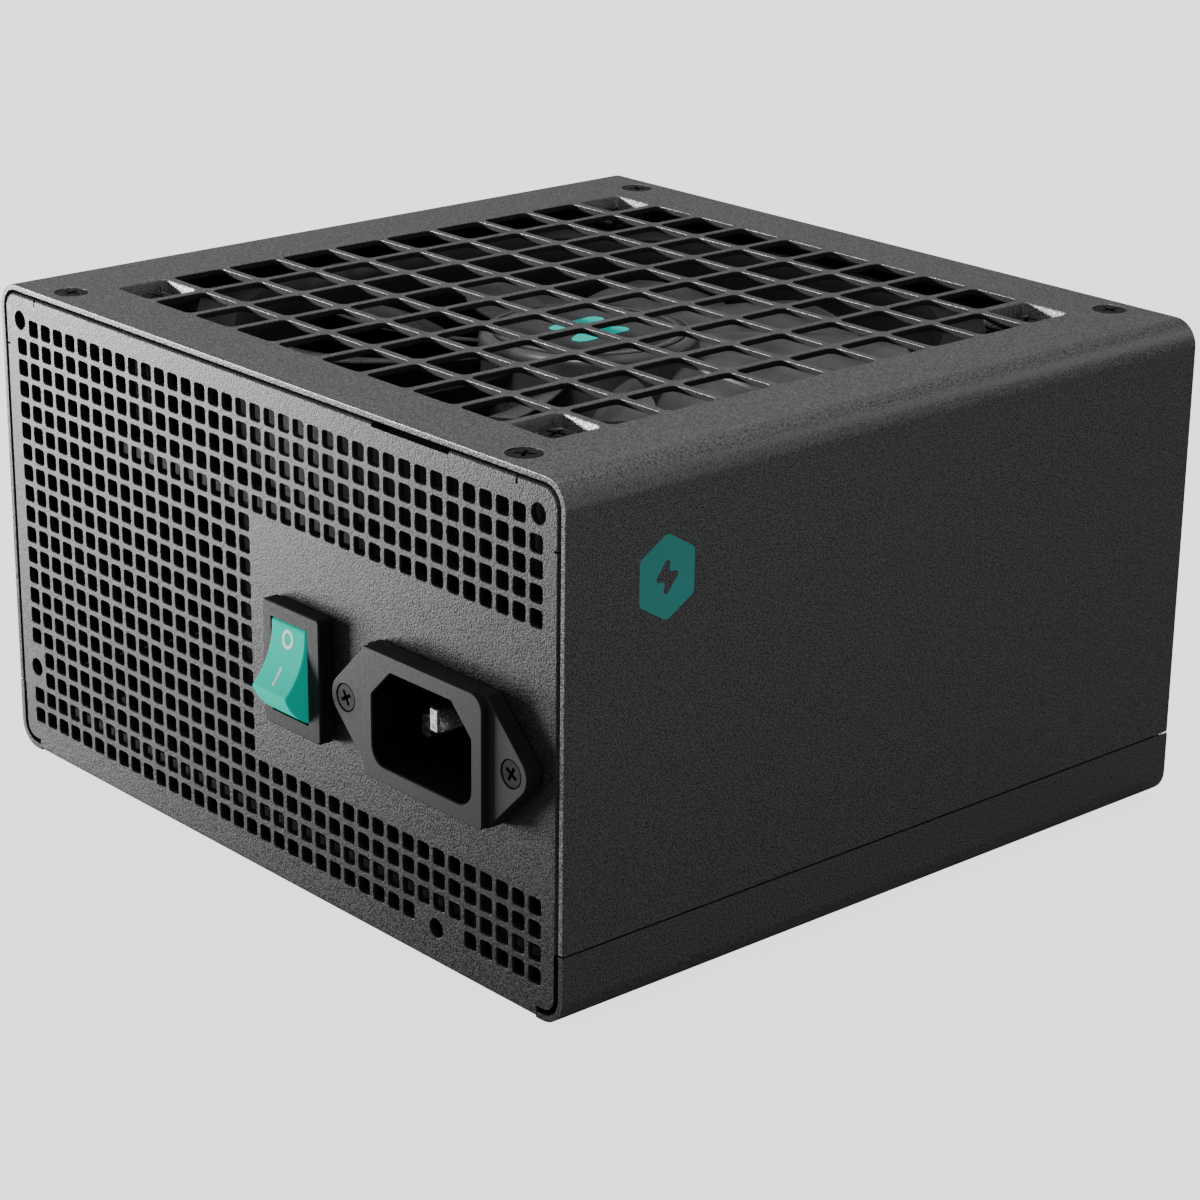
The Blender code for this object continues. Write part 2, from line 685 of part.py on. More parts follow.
def fan_wheel():
    """The rotor and what turns with it, all centred on the fan's axis."""
    axis = (*FAN_CENTRE, 0)
    cup = turned([(0, HUB_TOP - 0.5), (17, HUB_TOP - 0.5), (17, HUB_TOP), (HUB_R - 1, HUB_TOP),
                  (HUB_R, HUB_TOP - 1), (HUB_R, HUB_BOTTOM), (HUB_R - 1.8, HUB_BOTTOM),
                  (HUB_R - 1.8, HUB_TOP - 2.3), (0, HUB_TOP - 2.3)], 33)
    rotor = part("fan_rotor", cup, BLADE_PLASTIC, axis)
    one = blade()
    blades = []
    for number in range(BLADES):
        copy = one.copy()
        blades.append(moved(copy, angle=360 * number / BLADES))
    add(rotor, merged(blades))
    part("hub_badge", cylinder(16.6, HUB_TOP - 0.3, HUB_TOP + 0.1, sides=32), BADGE, axis)
    magnet = turned_closed([(HUB_R - 2.1, 77), (HUB_R - 2.1, 64.5), (HUB_R - 3.8, 64.5),
                            (HUB_R - 3.8, 77)], 20)
    part("fan_magnet_ring", magnet, FERRITE, axis)
    part("fan_shaft", cylinder(1.5, 60.5, HUB_TOP - 2.6, sides=16), STEEL, axis)


def fan_motor():
    """The fixed half of the motor, round the bearing tube."""
    bearing = turned_closed([(3.7, 75), (3.7, 61), (1.58, 61), (1.58, 75)], 16)
    part("fan_bearing", moved(bearing, (*FAN_CENTRE, 0)), BRONZE)
    poles = []
    for pole in range(4):
        middle = pole * math.pi / 2
        shoe = math.radians(34)
        stem = math.radians(11)
        poles += [(7.0, middle - 2 * stem), (11.0, middle - stem), (11.4, middle - shoe)]
        poles += [(14.2, middle - shoe + 2 * shoe * step / 6) for step in range(7)]
        poles += [(11.4, middle + shoe), (11.0, middle + stem), (7.0, middle + 2 * stem)]
    x, y = FAN_CENTRE
    outline = [Vector((x + r * math.cos(a), y + r * math.sin(a))) for r, a in poles]
    part("fan_stator", extruded([outline, circle(5.0, FAN_CENTRE, 16)], 66, 75), STEEL)
    ring = extruded([circle(14.5, FAN_CENTRE, 20), circle(5.2, FAN_CENTRE, 12)], 61, 62.2)
    part("fan_board", ring, BOARD)
    lead = tube([(-53, 119, 57), (-55, 118, 50), (-58, 113, 36), (-59.5, 108.5, 24),
                 (-60, 108, 15)], 1.2)
    plug = box((-63, 105, ON_BOARD), (-57, 111, 16))
    part("fan_lead", shape(plug, adds=[lead]), WIRE)


# The rocker switch

def rocker_switch():
    x, z = SWITCH
    wide, tall, proud = SWITCH_BEZEL
    centre = (x + BEZEL_OFFSET, z)
    bezel = extruded([rectangle(wide, tall, 0.6, centre, 2)], -proud, -GAP, "Y")
    soften(bezel, 0.5, lambda a, b: a.y < 0.1 - proud and b.y < 0.1 - proud, 2)
    housing = part("switch_housing", bezel, SWITCH_PLASTIC)
    add(housing, extruded([rectangle(*SWITCH_BODY, 0, SWITCH)], -1, 14, "Y"))
    well = cylinder(ROCKER_R + GAP, -ROCKER_WIDTH / 2 - GAP, ROCKER_WIDTH / 2 + GAP,
                    (ROCKER_PIVOT_Y, 0), 32, "X")
    half = SWITCH_BODY[0] / 2
    pivots = cylinder(1.8, -half - 1, half + 1, (ROCKER_PIVOT_Y, 0), 12, "X")
    slots = [box((-2.7, 8, side * 5 - 0.7), (2.7, 15, side * 5 + 0.7)) for side in (-1, 1)]
    cut(housing, *(moved(mesh, (x, 0, z)) for mesh in (well, pivots, merged(slots))))
    for name, side in (("line", 1), ("load", -1)):
        blade_z = z + side * 5
        part(f"switch_terminal_{name}",
             box((x - 2.4, 10.3, blade_z - 0.4), (x + 2.4, 22, blade_z + 0.4)), TINNED)

    lean = math.radians(90 - ROCKER_REST)
    tip = math.radians(ROCKER_FACE)
    face = ROCKER_R * math.cos(tip)
    chord = 2 * ROCKER_R * math.sin(tip)
    hollow_r = (chord ** 2 / 4 + ROCKER_HOLLOW ** 2) / (2 * ROCKER_HOLLOW)
    steps = 8
    outline = []
    for step in range(steps + 1):
        angle = tip + (math.radians(88) - tip) * step / steps
        outline.append(Vector((ROCKER_R * math.sin(angle), ROCKER_R * math.cos(angle))))
    outline += [Vector((-a, b)) for a, b in reversed(outline)]
    spread = math.asin(chord / 2 / hollow_r)
    for step in range(1, steps):
        angle = -spread + 2 * spread * step / steps
        outline.append(Vector((hollow_r * math.sin(angle),
                               face + hollow_r * (math.cos(spread) - math.cos(angle)))))
    # (along, out) in the rocker's own frame, turned so that its upper end is pressed in
    turned_outline = [Vector((a * math.cos(lean) - out * math.sin(lean),
                              a * math.sin(lean) + out * math.cos(lean))) for a, out in outline]
    body = extruded([turned_outline], -ROCKER_WIDTH / 2, ROCKER_WIDTH / 2, "X")
    pivot = cylinder(1.5, GAP - half, half - GAP, sides=12, axis="X")
    rocker = part("switch_rocker", body, TEAL_PLASTIC, (x, ROCKER_PIVOT_Y, z))
    add(rocker, pivot)


# The mains inlet

def inlet_outline():
    """Two round ears joined by straight flanks to a body between them."""
    half_wide, half_tall = 14.55, INLET_HEIGHT / 2
    ear = Vector((INLET_SCREW_SPACING / 2, 0))
    corner = Vector((half_wide, half_tall))
    to_ear = ear - corner
    flank = math.acos(INLET_EAR_R / to_ear.length)
    contact = math.atan2(-to_ear.y, -to_ear.x) - flank
    steps = 6
    right = [ear + INLET_EAR_R * Vector((math.cos(a), math.sin(a)))
             for a in (-contact + 2 * contact * step / steps for step in range(steps + 1))]
    points = [Vector((half_wide, -half_tall)), *right, corner]
    points += [Vector((-a, b)) for a, b in reversed(points)]
    return [Vector(INLET) + point for point in points]


def mains_inlet():
    x, z = INLET
    low, high = z - INLET_HEIGHT / 2 + 0.05, z + INLET_HEIGHT / 2 - 0.05
    rim = extruded([rounded([(x - 14.4, low, 0.6), (x + 14.6, low, 0.6),
                             (x + 14.6, high, 2.5), (x - 14.4, high, 1.2)], 3)],
                   -INLET_RIM, -INLET_FLANGE + 1, "Y")
    body = part("inlet_body", rim, INLET_PLASTIC)
    add(body, extruded([inlet_outline()], -INLET_FLANGE, -GAP, "Y"),
        extruded([rectangle(27.4, 19.8, 0.7, INLET, 2)], -1, INLET_BACK, "Y"))
    half_wide, half_tall = (size / 2 for size in INLET_OPENING)
    slope = 4.8
    mouth = rounded([(x - half_wide, z - half_tall, 3), (x + half_wide, z - half_tall, 3),
                     (x + half_wide, z + half_tall - slope, 0.3),
                     (x + half_wide - slope, z + half_tall, 0.3),
                     (x - half_wide + slope, z + half_tall, 0.3),
                     (x - half_wide, z + half_tall - slope, 0.3)], 3)
    pins = (("earth_pin", 0, 2.0, EARTH_PIN_RECESS), ("line_pin", -7, -2.0, PIN_RECESS),
            ("neutral_pin", 7, -2.0, PIN_RECESS))
    slots = [box((x + a - 1.3, INLET_FLOOR - 2, z + b - 2.3),
                 (x + a + 1.3, INLET_BACK + 1, z + b + 2.3)) for _, a, b, _ in pins]
    screws = [(x + side * INLET_SCREW_SPACING / 2, -INLET_FLANGE, z) for side in (-1, 1)]
    sinks = [moved(countersink(INLET_SCREW_R, SCREW_SHANK_R, 9), place, 90, "X")
             for place in screws]
    cut(body, extruded([mouth], -INLET_RIM - 1, INLET_FLOOR, "Y"), merged(slots), merged(sinks))
    for name, a, b, recess in pins:
        blade_low = Vector((x + a - 1, recess - INLET_RIM, z + b - 2))
        blade_high = Vector((x + a + 1, INLET_BACK, z + b + 2))
        pin = soften(box(blade_low, blade_high), 0.6,
                     lambda p, q: max(p.y, q.y) < INLET_BACK - 1, 1)
        made = part(name, pin, TINNED)
        add(made, box((x + a - 0.4, INLET_BACK - 1, z + b - 2), (x + a + 0.4, 22, z + b + 2)))
    flat = flat_screw(INLET_SCREW_R, SCREW_SHANK_R, 9.0)
    for number, place in enumerate(screws, 1):
        part(f"inlet_screw_{number}", flat, BLACK_SCREW, place, (90, 0, 0))


def mains_leads():
    """Wires from the inlet to the switch and from both to the board."""
    inlet_x, inlet_z = INLET
    switch_x, switch_z = SWITCH
    behind = 22 + 1.9
    part("line_lead", tube([(inlet_x - 7, behind, inlet_z - 2), (inlet_x - 12, 28, inlet_z + 3),
                            (26, 29, switch_z + 7), (switch_x + 5, 27, switch_z + 6),
                            (switch_x, behind, switch_z + 5)], 1.5), WIRE)
    part("load_lead", tube([(switch_x, behind, switch_z - 5), (switch_x + 1, 27, switch_z - 8),
                            (switch_x + 2, 28.5, 22), (switch_x + 2, 27, 9.2)], 1.5), WIRE)
    part("neutral_lead", tube([(inlet_x + 7, behind, inlet_z - 2), (inlet_x + 9, 27, inlet_z - 6),
                               (inlet_x + 12, 28, 22), (inlet_x + 13, 26, 9.2)], 1.5), WIRE)


# The main board and what stands on it

def main_board():
    board_holes = [circle(2.0, place, 12) for place in BOARD_SCREWS]
    edge = rectangle(134, 122, 0, (0, 65))
    part("main_board", extruded([edge, *board_holes], BOARD_BOTTOM, BOARD_TOP), BOARD)
    boss_holes = [circle(4.2, place, 12) for place in BOARD_SCREWS]
    film = extruded([rectangle(136, 124, 0, (0, 65)), *boss_holes], SHEET + GAP, SHEET + GAP + 0.4)
    part("insulator_sheet", film, FILM)
    pan = pan_screw(2.9, 1.8, SCREW_SHANK_R, 5.6, recessed=False)
    for number, (x, y) in enumerate(BOARD_SCREWS, 1):
        part(f"board_screw_{number}", pan, ZINC, (x, y, ON_BOARD))


def can(radius, height):
    """An electrolytic capacitor's can, with its crimp and its sunk top."""
    return turned([(0, height - 0.4), (radius - 1.2, height - 0.4), (radius - 0.9, height),
                   (radius, height - 0.6), (radius, 0), (0, 0)], 20)


def toroid(ring_r, wire_r, turns):
    """A wound ring core, its surface ribbed by the turns, with its axis along Z."""
    bm = bmesh.new()
    sides = 6
    rings = []
    for step in range(turns * 2):
        around = math.pi * step / turns
        radius = wire_r * (1.0 if step % 2 else 0.88)
        ring = []
        for side in range(sides):
            angle = math.tau * (side + 0.5) / sides
            reach = ring_r + radius * math.cos(angle)
            ring.append(bm.verts.new((reach * math.cos(around), reach * math.sin(around),
                                      radius * math.sin(angle))))
        rings.append(ring)
    for number, ring in enumerate(rings):
        following = rings[(number + 1) % len(rings)]
        for side in range(sides):
            other = (side + 1) % sides
            bm.faces.new((ring[side], following[side], following[other], ring[other]))
    bmesh.ops.recalc_face_normals(bm, faces=bm.faces)
    return mesh_from(bm)


def heatsink(low_x, high_x, y, top):
    """A plate along X with fins on its far side."""
    outline = [Vector((low_x, y)), Vector((high_x, y)), Vector((high_x, y + 3))]
    fins = 7
    pitch = (high_x - low_x) / fins
    for number in range(fins):
        middle = high_x - (number + 0.5) * pitch
        outline += [Vector((middle + 1, y + 3)), Vector((middle + 0.8, y + 9)),
                    Vector((middle - 0.8, y + 9)), Vector((middle - 1, y + 3))]
    outline.append(Vector((low_x, y + 3)))
    return extruded([outline], ON_BOARD, top)


def board_parts():
    part("bulk_capacitor", can(15, 45), SLEEVE, (-45, 42, ON_BOARD))
    part("output_capacitor_1", can(5, 25), SLEEVE, (-48, 104, ON_BOARD))
    part("output_capacitor_2", can(5, 25), SLEEVE, (-36, 104, ON_BOARD))
    part("output_capacitor_3", can(5, 25), SLEEVE, (-42, 116, ON_BOARD))
    part("pfc_choke", toroid(12.5, 5.8, 16), COPPER, (-6, 41, ON_BOARD + 18.4), (90, 0, 0))
    part("emi_choke", toroid(8.5, 4.2, 12), COPPER, (50, 46, ON_BOARD + 12.8), (0, 90, 0))
    cap = box((20, 27, ON_BOARD), (32, 53, ON_BOARD + 20))
    soften(cap, 0.8, lambda a, b: True, 2)
    part("x_capacitor", cap, YELLOW)
    part("primary_heatsink", heatsink(-18, 64, 63, 47), ALUMINIUM)
    part("secondary_heatsink", heatsink(-10, 60, 108, 45), ALUMINIUM)

    x, y, low = 22, 90, ON_BOARD
    core = part("transformer_core", box((x - 20, y - 7, low), (x + 20, y + 7, low + 34)),
                FERRITE)
    windows = [box((x + a, y - 8, low + 6), (x + a + 9, y + 8, low + 28))
               for a in (-14.5, 5.5)]
    cut(core, merged(windows))
    winding = [rectangle(26, 27, 3, (x, y)), rectangle(11.6, 14.6, 0, (x, y))]
    part("transformer_winding", extruded(winding, low + 6.3, low + 27.7), TAPE)
    x, y = -46, 76
    small = part("standby_transformer", box((x - 10, y - 4, low), (x + 10, y + 4, low + 19)),
                 FERRITE)
    add(small, extruded([rectangle(12, 17, 2, (x, y))], low + 4, low + 15))


# The output sockets

def socket_size(columns):
    return columns * SOCKET_PITCH + 1.2, 2 * SOCKET_PITCH + 1.2


def cell_centres(columns, x, z):
    return [(x + (column - (columns - 1) / 2) * SOCKET_PITCH, z + side * SOCKET_PITCH / 2)
            for column in range(columns) for side in (-1, 1)]


def output_sockets():
    board_low, board_high = PORT_BOARD_Y
    part("modular_board", box((-66, board_low, 8), (66, board_high, 50)), BOARD)
    for name, columns, x, z in SOCKETS:
        width, height = socket_size(columns)
        cells = [rectangle(SOCKET_CELL, SOCKET_CELL, 0, centre)
                 for centre in cell_centres(columns, x, z)]
        housing = extruded([rectangle(width, height, 0, (x, z)), *cells],
                           board_high + GAP, DEPTH + SOCKET_PROUD, "Y")
        part(name, housing, SOCKET_PLASTIC)


upper_cover()
lower_tray()
case_screws()
fan_frame()
fan_wheel()
fan_motor()
rocker_switch()
mains_inlet()
mains_leads()
main_board()
board_parts()
output_sockets()
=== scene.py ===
"""Looks for the power supply unit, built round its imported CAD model.

Shapes are modelled in millimetres in the case's frame (X across the rear panel, Y into
the case from the rear panel's outer face, Z up) and become metres in the row frame when
they are made into pieces.
"""
import math

import bmesh
import bpy
from mathutils import Matrix, Vector


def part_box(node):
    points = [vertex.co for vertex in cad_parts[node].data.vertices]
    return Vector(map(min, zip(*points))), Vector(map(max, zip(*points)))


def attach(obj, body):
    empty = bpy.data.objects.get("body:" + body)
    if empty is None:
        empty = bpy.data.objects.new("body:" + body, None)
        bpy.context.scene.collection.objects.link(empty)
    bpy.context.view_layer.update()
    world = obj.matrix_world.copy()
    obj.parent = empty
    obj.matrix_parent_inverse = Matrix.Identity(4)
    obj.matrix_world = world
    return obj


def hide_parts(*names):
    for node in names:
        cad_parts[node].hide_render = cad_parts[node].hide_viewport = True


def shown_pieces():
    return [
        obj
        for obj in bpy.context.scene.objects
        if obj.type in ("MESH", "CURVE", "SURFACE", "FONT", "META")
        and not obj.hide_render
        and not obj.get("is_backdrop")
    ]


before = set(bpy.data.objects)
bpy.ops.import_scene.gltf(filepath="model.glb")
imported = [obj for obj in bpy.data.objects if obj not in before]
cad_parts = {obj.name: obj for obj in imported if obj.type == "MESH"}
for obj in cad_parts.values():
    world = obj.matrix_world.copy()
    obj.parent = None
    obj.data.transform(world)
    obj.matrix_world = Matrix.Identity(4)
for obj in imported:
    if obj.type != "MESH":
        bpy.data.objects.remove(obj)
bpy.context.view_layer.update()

MM = 0.001
# The cover reaches from the rear panel's outer face (y = 0) to the front.
TO_ROW = Matrix.Translation((0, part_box("upper_cover")[0].y, 0)) @ Matrix.Scale(MM, 4)

# Case
HALF = 75.0
HEIGHT = 86.0
DEPTH = 140.0
SHEET = 1.0
BEND = 4.5
SEAM = 12.0
GAP = 0.3
PANEL_INSET = SHEET + GAP
PANEL_TOP = HEIGHT - PANEL_INSET
PANEL_FLANGE = 9.6
PANEL_EDGE = 0.7
FOLD_X = 64.0
FOLD_Z = (12.5, 75.0)
FOLD_END = HALF - 6.0
RELIEF = 0.4
SLOT = 1.0
SHY = 0.05
SIDE_SHY = 0.04            # the cover's sides stand back by this for the printed mark

# Rear panel
HOLE_PITCH = 3.81
HOLE_SIZE = 2.75
HOLE_CORNER_R = 0.5
HOLE_COLUMNS = 37
HOLE_ROWS = 20
HOLE_TOP = 79.2
MOUNT_HOLES = ((-69, 80), (69, 80), (-69, 16), (45, 6))
MOUNT_HOLE_R = 1.6

# Top
GRILLE_CELLS = 10
GRILLE_HALF = 52.5         # from the fan's middle to the middle of the outermost cells
GRILLE_PITCH = 2 * GRILLE_HALF / (GRILLE_CELLS - 1)
GRILLE_CELL = 10.3
POCKET_CELL = 9.8
POCKET_DEPTH = 2.2
COVER_SCREWS = tuple((x, y) for y in (5, 135) for x in (-60, 60))
COVER_SCREW_R = 2.7
FAN_SCREW_R = 3.2
SHANK_R = 1.5

# Fan
FAN_CENTRE = Vector((0.0, 70.0, 0.0))
FAN_TOP = 82.5
FAN_BOTTOM = 57.5
DUCT_R = 58.0
HUB_R = 19.0
HUB_TOP = 81.0
HUB_BOTTOM = 63.0
BLADES = 11
BLADE_TIP_R = 56.4
FAN_HOLES = tuple((a * GRILLE_HALF, FAN_CENTRE.y + b * GRILLE_HALF) for b in (-1, 1) for a in (-1, 1))
FAN_HOLE_R = 2.2

# Switch and inlet
SWITCH = Vector((11.9, 0.0, 39.9))
BEZEL_OFFSET = 0.4         # the bezel reaches further to the right of the rocker
ROCKER_WIDTH = 9.0
ROCKER_R = 8.6
ROCKER_PIVOT_Y = 1.0
ROCKER_REST = 22.0
ROCKER_FACE = 39.5
ROCKER_HOLLOW = 1.2
INLET = Vector((46.7, 0.0, 39.8))
INLET_EAR_R = 3.6
INLET_FLANGE = 3.1
INLET_RIM = 4.2
INLET_HEIGHT = 21.4
INLET_FLOOR = 11.5
INLET_BACK = 14.0
TAB_END = 22.0             # where the tabs behind the inlet and the switch end
INLET_SCREW_R = 2.2
INLET_SCREW_X = 20.0       # from the inlet's middle to either screw
INLET_SCREWS = (INLET.x - INLET_SCREW_X, INLET.x + INLET_SCREW_X)
INLET_HALF = 14.4
# name, place across and up from the inlet's middle, where its tip is
PINS = (("earth_pin", 0, 2.0, -1.6), ("line_pin", -7, -2.0, 2.4), ("neutral_pin", 7, -2.0, 2.4))

# Inside
BOARD_TOP = 8.8
ON_BOARD = BOARD_TOP + GAP
BOSS_TOP = 6.9
BOARD_SCREWS = tuple((x, y) for y in (12, 118) for x in (-60, 60))
SOCKET_PITCH = 4.2
CELL_HALF = 1.7
PORT_BOARD_FACE = 129.6
SOCKET_FRONT = 141.5
SOCKETS = (
    ("motherboard_socket_wide", 9, -38.0, 38.0),
    ("motherboard_socket_narrow", 5, 0.5, 38.0),
    ("cpu_socket_1", 4, 29.0, 38.0),
    ("cpu_socket_2", 4, 54.0, 38.0),
    ("graphics_socket_1", 4, -46.0, 20.0),
    ("graphics_socket_2", 4, -20.0, 20.0),
    ("peripheral_socket_1", 3, 6.0, 20.0),
    ("peripheral_socket_2", 3, 28.0, 20.0),
    ("peripheral_socket_3", 3, 50.0, 20.0),
)


# ---------------------------------------------------------------- materials

MATERIALS = {}


class Nodes:
    """A Principled material, kept in MATERIALS, and short ways to add nodes to it."""

    def __init__(self, name, colour, roughness, metallic=0.0, **sockets):
        self.material = bpy.data.materials.new(name)
        MATERIALS[name] = self.material
        self.material.use_nodes = True
        self.material.diffuse_color = (*colour, 1)
        self.tree = self.material.node_tree
        self.shader = self.tree.nodes["Principled BSDF"]
        self.colour = colour
        sockets = {"Base Color": (*colour, 1), "Roughness": roughness, "Metallic": metallic, **sockets}
        for socket, value in sockets.items():
            self.shader.inputs[socket.replace("_", " ")].default_value = value
        self.place = self.add("ShaderNodeTexCoord").outputs["Object"]

    def add(self, kind, **settings):
        node = self.tree.nodes.new(kind)
        for key, value in settings.items():
            setattr(node, key, value)
        return node

    def link(self, source, target):
        self.tree.links.new(source, target)

    def stretched(self, scale):
        mapping = self.add("ShaderNodeMapping")
        mapping.inputs["Scale"].default_value = scale
        self.link(self.place, mapping.inputs["Vector"])
        return mapping.outputs["Vector"]

    def noise(self, scale, detail=2.0, rough=0.5, place=None):
        node = self.add("ShaderNodeTexNoise")
        for socket, value in (("Scale", scale), ("Detail", detail), ("Roughness", rough)):
            node.inputs[socket].default_value = value
        self.link(place or self.place, node.inputs["Vector"])
        return node.outputs["Fac"]

    def spread(self, value, low, high):
        """A noise's value, from the range that it mostly has to low..high."""
        node = self.add("ShaderNodeMapRange")
        for socket, limit in zip(("From Min", "From Max", "To Min", "To Max"), (0.3, 0.7, low, high)):
            node.inputs[socket].default_value = limit
        self.link(value, node.inputs["Value"])
        return node.outputs["Result"]

    def shades(self, value, stops):
        """A colour for each value, through stops (position, colour)."""
        ramp = self.add("ShaderNodeValToRGB")
        elements = ramp.color_ramp.elements
        while len(elements) < len(stops):
            elements.new(0.5)
        for element, (position, colour) in zip(elements, stops):
            element.position = position
            element.color = (*colour, 1)
        self.link(value, ramp.inputs["Fac"])
        return ramp.outputs["Color"]

    def tint(self, value, spread):
        """The base colour, darker and lighter by spread as the value goes."""
        dark = [c * (1 - spread) for c in self.colour]
        light = [min(1, c * (1 + spread)) for c in self.colour]
        self.link(self.shades(value, [(0.32, dark), (0.68, light)]),
                  self.shader.inputs["Base Color"])
        return self

    def rough(self, value, low, high):
        self.link(self.spread(value, low, high), self.shader.inputs["Roughness"])
        return self

    def bump(self, value, depth, strength=1.0, before=None):
        node = self.add("ShaderNodeBump")
        node.inputs["Strength"].default_value = strength
        node.inputs["Distance"].default_value = depth * MM
        self.link(value, node.inputs["Height"])
        if before:
            self.link(before, node.inputs["Normal"])
        self.link(node.outputs["Normal"], self.shader.inputs["Normal"])
        return node.outputs["Normal"]


def powder_coat():
    """Baked powder: a fine orange-peel grain with darker pits, on dark grey."""
    made = Nodes("powder_coat", (0.022, 0.0225, 0.023), 0.38, Specular_IOR_Level=0.4)
    grain = made.noise(1500, 2.0, 0.65)
    fleck = made.noise(3400, 1.0, 0.5)
    made.tint(fleck, 0.7)
    made.rough(fleck, 0.28, 0.54)
    first = made.bump(grain, 0.06, 0.6)
    made.bump(fleck, 0.07, 0.9, first)


def moulded(name, colour, roughness, spark=1600, depth=0.02, spread=0.08, **sockets):
    """Moulded plastic with a spark-eroded texture."""
    made = Nodes(name, colour, roughness, **sockets)
    fine = made.noise(spark, 2.0, 0.6)
    broad = made.noise(90, 2.0, 0.5)
    made.tint(broad, spread)
    made.rough(fine, roughness - 0.06, roughness + 0.08)
    made.bump(fine, depth, 0.6)


def metal(name, colour, roughness, scale, depth=0.008, grain=(1, 1, 1)):
    """Metal with tool or rolling marks along the axis where the grain is small."""
    made = Nodes(name, colour, roughness, 1.0)
    marks = made.noise(scale, 3.0, 0.6, made.stretched(grain))
    broad = made.noise(140, 2.0, 0.5)
    made.tint(broad, 0.12)
    made.rough(marks, roughness - 0.08, roughness + 0.12)
    made.bump(marks, depth, 0.5)


def wound(name, colour, metallic, axis_scale, roughness=0.35):
    """Turns of wire, as bands."""
    made = Nodes(name, colour, roughness, metallic)
    wave = made.add("ShaderNodeTexWave", wave_type="BANDS", bands_direction="DIAGONAL")
    wave.inputs["Scale"].default_value = axis_scale
    wave.inputs["Distortion"].default_value = 1.5
    made.link(made.place, wave.inputs["Vector"])
    made.tint(made.noise(400, 2.0), 0.2)
    made.rough(wave.outputs["Fac"], roughness, roughness + 0.2)
    made.bump(wave.outputs["Fac"], 0.15, 0.7)


def circuit_board():
    """Black solder mask over tracks and pads."""
    made = Nodes("circuit_board", (0.010, 0.013, 0.012), 0.35)
    tracks = made.add("ShaderNodeTexBrick", offset=0.37, squash=0.6)
    for socket, value in (("Scale", 160), ("Mortar Size", 0.035),
                          ("Color1", (0.009, 0.012, 0.011, 1)), ("Color2", (0.014, 0.019, 0.017, 1)),
                          ("Mortar", (0.005, 0.007, 0.006, 1))):
        tracks.inputs[socket].default_value = value
    made.link(made.place, tracks.inputs["Vector"])
    made.link(tracks.outputs["Color"], made.shader.inputs["Base Color"])
    made.bump(tracks.outputs["Fac"], 0.03, 0.6)
    made.rough(made.noise(500, 2.0), 0.28, 0.45)


powder_coat()
circuit_board()

metal("black_screw", (0.018, 0.018, 0.019), 0.42, 1500, 0.01)
metal("zinc_screw", (0.62, 0.61, 0.58), 0.33, 900)
metal("tinned_contact", (0.80, 0.80, 0.79), 0.24, 1200, grain=(1, 0.08, 1))
metal("ground_steel", (0.62, 0.62, 0.63), 0.26, 500, grain=(1, 1, 12))
metal("bearing_bronze", (0.55, 0.36, 0.16), 0.4, 2500, 0.02)
metal("heatsink_aluminium", (0.03, 0.03, 0.032), 0.45, 900, grain=(1, 1, 0.05))

wound("copper_winding", (0.16, 0.055, 0.02), 0.85, 260)
wound("winding_tape", (0.06, 0.045, 0.01), 0.0, 90, 0.42)

moulded("fan_plastic", (0.018, 0.018, 0.020), 0.48)
moulded("blade_plastic", (0.055, 0.055, 0.058), 0.3, 900, 0.006)
moulded("switch_plastic", (0.020, 0.020, 0.021), 0.5, 1800, 0.03, Specular_IOR_Level=0.15)
# The rocker's teal plastic also glows a little. This is painted light that brightens its shaded sides.
moulded("teal_plastic", (0.0, 0.62, 0.46), 0.6, 1200, 0.006, 0.05, Specular_IOR_Level=0.0,
        Emission_Color=(0, 0.16, 0.125, 1), Emission_Strength=1.0)
moulded("mark_paint", (0.006, 0.16, 0.145), 0.5, 2600, 0.02, 0.06, Specular_IOR_Level=0.3)
moulded("bright_paint", (0.005, 0.40, 0.34), 0.6, 2600, 0.02, 0.06, Specular_IOR_Level=0.1)
moulded("white_paint", (0.78, 0.80, 0.80), 0.5, 2600, 0.01, 0.04)
moulded("inlet_plastic", (0.024, 0.024, 0.025), 0.5, 1500, 0.03, 0.12, Specular_IOR_Level=0.22)
# Near-black plastic laid on as painted shade: on the cover's cell walls and inside the inlet's opening.
moulded("painted_shade_black", (0.006, 0.006, 0.006), 0.7, 1500, 0.02, 0.1, Specular_IOR_Level=0.1)
moulded("socket_plastic", (0.017, 0.017, 0.018), 0.4, 1400, 0.015)
moulded("ferrite", (0.055, 0.055, 0.06), 0.7, 1100, 0.05, 0.2)
moulded("badge_foil", (0.030, 0.031, 0.033), 0.3, 2200, 0.004, 0.05)
moulded("insulating_film", (0.03, 0.03, 0.033), 0.35, 300, 0.02)
moulded("capacitor_sleeve", (0.018, 0.022, 0.045), 0.32, 250, 0.03, 0.2)
moulded("yellow_film", (0.10, 0.07, 0.012), 0.4, 600, 0.01)
moulded("wire_insulation", (0.016, 0.016, 0.017), 0.5, 900, 0.01)
moulded("wire_blue", (0.005, 0.01, 0.04), 0.45, 900, 0.01)
moulded("wire_brown", (0.02, 0.009, 0.006), 0.45, 900, 0.01)


# ---------------------------------------------------------------- outlines

